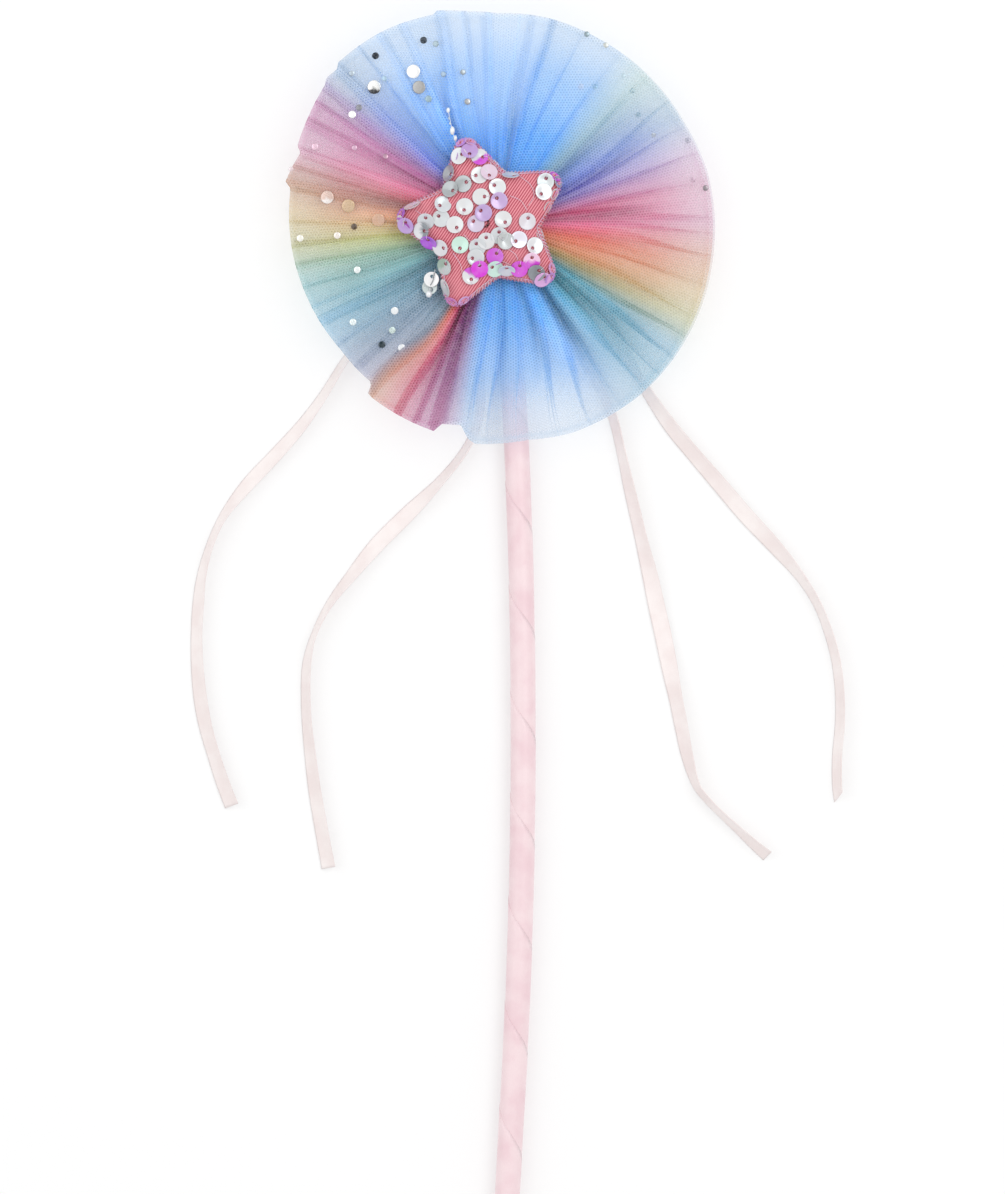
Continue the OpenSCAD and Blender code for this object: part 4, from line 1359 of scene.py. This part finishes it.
def wrap_rows(steps, bands):
    """Rows of turn, distance along the stick and share of the ribbon's width."""
    turns = math.ceil((WRAP_LEN + PITCH) / PITCH) + 1
    rows = []
    for i in range(turns * steps + 1):
        angle = 2 * math.pi * i / steps
        base = PITCH * i / steps - PITCH - OVERLAP
        row = []
        for k in range(bands + 1):
            share = k / bands
            run = base + share * (PITCH + OVERLAP)
            row.append((angle, min(max(run, 0.0), WRAP_LEN), share))
        rows.append(row)
    return rows


def wrap_point(angle, run, share, outer):
    """A point on the outer or inner skin of the wound ribbon."""
    centre, along = stick_point(run)
    level = along.cross(Vector((0, 0, 1)))
    up = level.cross(along)
    lift = WRAP_IN + 0.22 + 0.16 * (1 - share) ** 0.5
    radius = lift + (WRAP_THICK if outer else 0.0)
    a = angle + math.radians(START_TURN)
    p = centre + (level * math.cos(a) + up * math.sin(a)) * radius
    return at_hub(p.x, p.y, p.z)


def wrap_faces(n_rows, bands):
    """Both skins of the ribbon, its two selvedges and its two ends."""
    wide = bands + 1
    layer = n_rows * wide
    faces = []
    for j in range(n_rows - 1):
        for k in range(bands):
            quad = (j * wide + k, (j + 1) * wide + k, (j + 1) * wide + k + 1, j * wide + k + 1)
            faces.append(quad)
            faces.append(tuple(layer + i for i in reversed(quad)))
        for k, flip in ((0, True), (bands, False)):
            a, b = j * wide + k, (j + 1) * wide + k
            quad = (a, b, layer + b, layer + a)
            faces.append(tuple(reversed(quad)) if flip else quad)
    for j, flip in ((0, False), (n_rows - 1, True)):
        for k in range(bands):
            a, b = j * wide + k, j * wide + k + 1
            quad = (a, b, layer + b, layer + a)
            faces.append(tuple(reversed(quad)) if flip else quad)
    return faces


def make_wrap(material):
    """One satin ribbon wound down the dowel, each turn lapped over the one before."""
    bands = 14
    rows = wrap_rows(48, bands)
    points, coords = [], []
    for outer in (True, False):
        for row in rows:
            for angle, run, share in row:
                points.append(wrap_point(angle, run, share, outer))
                coords.append((share * 24.0, PITCH * angle / (2 * math.pi) * 1.2))
    build = Build()
    build.add(points, wrap_faces(len(rows), bands), coords=coords)
    wrap = build.piece("stick_wrap_satin", material, "satin_wrap")
    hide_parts("stick_wrap")
    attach(wrap, WAND)


def paint_node(node, material):
    """A CAD node keeps its mesh and takes a better material."""
    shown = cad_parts[node]
    for slot in shown.material_slots:
        slot.link = "OBJECT"
        slot.material = material


# ---------------------------------------------------------------- the scene
make_camera()
RIBBON_SATIN = satin_material(
    "ribbon_satin", tuple(linear("efe3e1")), tuple(linear("f6eeec")), 3.0, (0, 22.0, 0))
for ribbon_name, (anchor, rows) in STREAMERS.items():
    make_streamer(ribbon_name, anchor, rows, RIBBON_SATIN)
make_studio()
make_floor()

CLEAR = clear_thread_material()
sheets = make_rosette()
make_confetti([sheets["tulle_glitter"], sheets["tulle_front"], sheets["tulle_middle"]])
pillow = Pillow()
make_star(pillow)
make_edge_thread(pillow)
make_sequins(pillow)
make_dangles()
WRAP_SATIN = satin_material("wrap_satin", tuple(linear("e9cbd1")), tuple(linear("f0dadd")), 2.0, (16.0, 0, 0))
make_wrap(WRAP_SATIN)

paint_node("wrap_end_tuck", WRAP_SATIN)
paint_node("dowel", wood_material())
paint_node("backing_disc", felt_material("backing_felt", tuple(linear("e8e2e4"))))
paint_node("star_back_felt", felt_material("star_felt", tuple(linear("d98a94"))))
GLUE = glue_material()
paint_node("stick_glue", GLUE)
paint_node("hub_glue", GLUE)
YARN = yarn_material("sewing_thread", tuple(linear("e6e6ea")))
paint_node("gathering_thread", YARN)
paint_node("streamer_stitches", YARN)
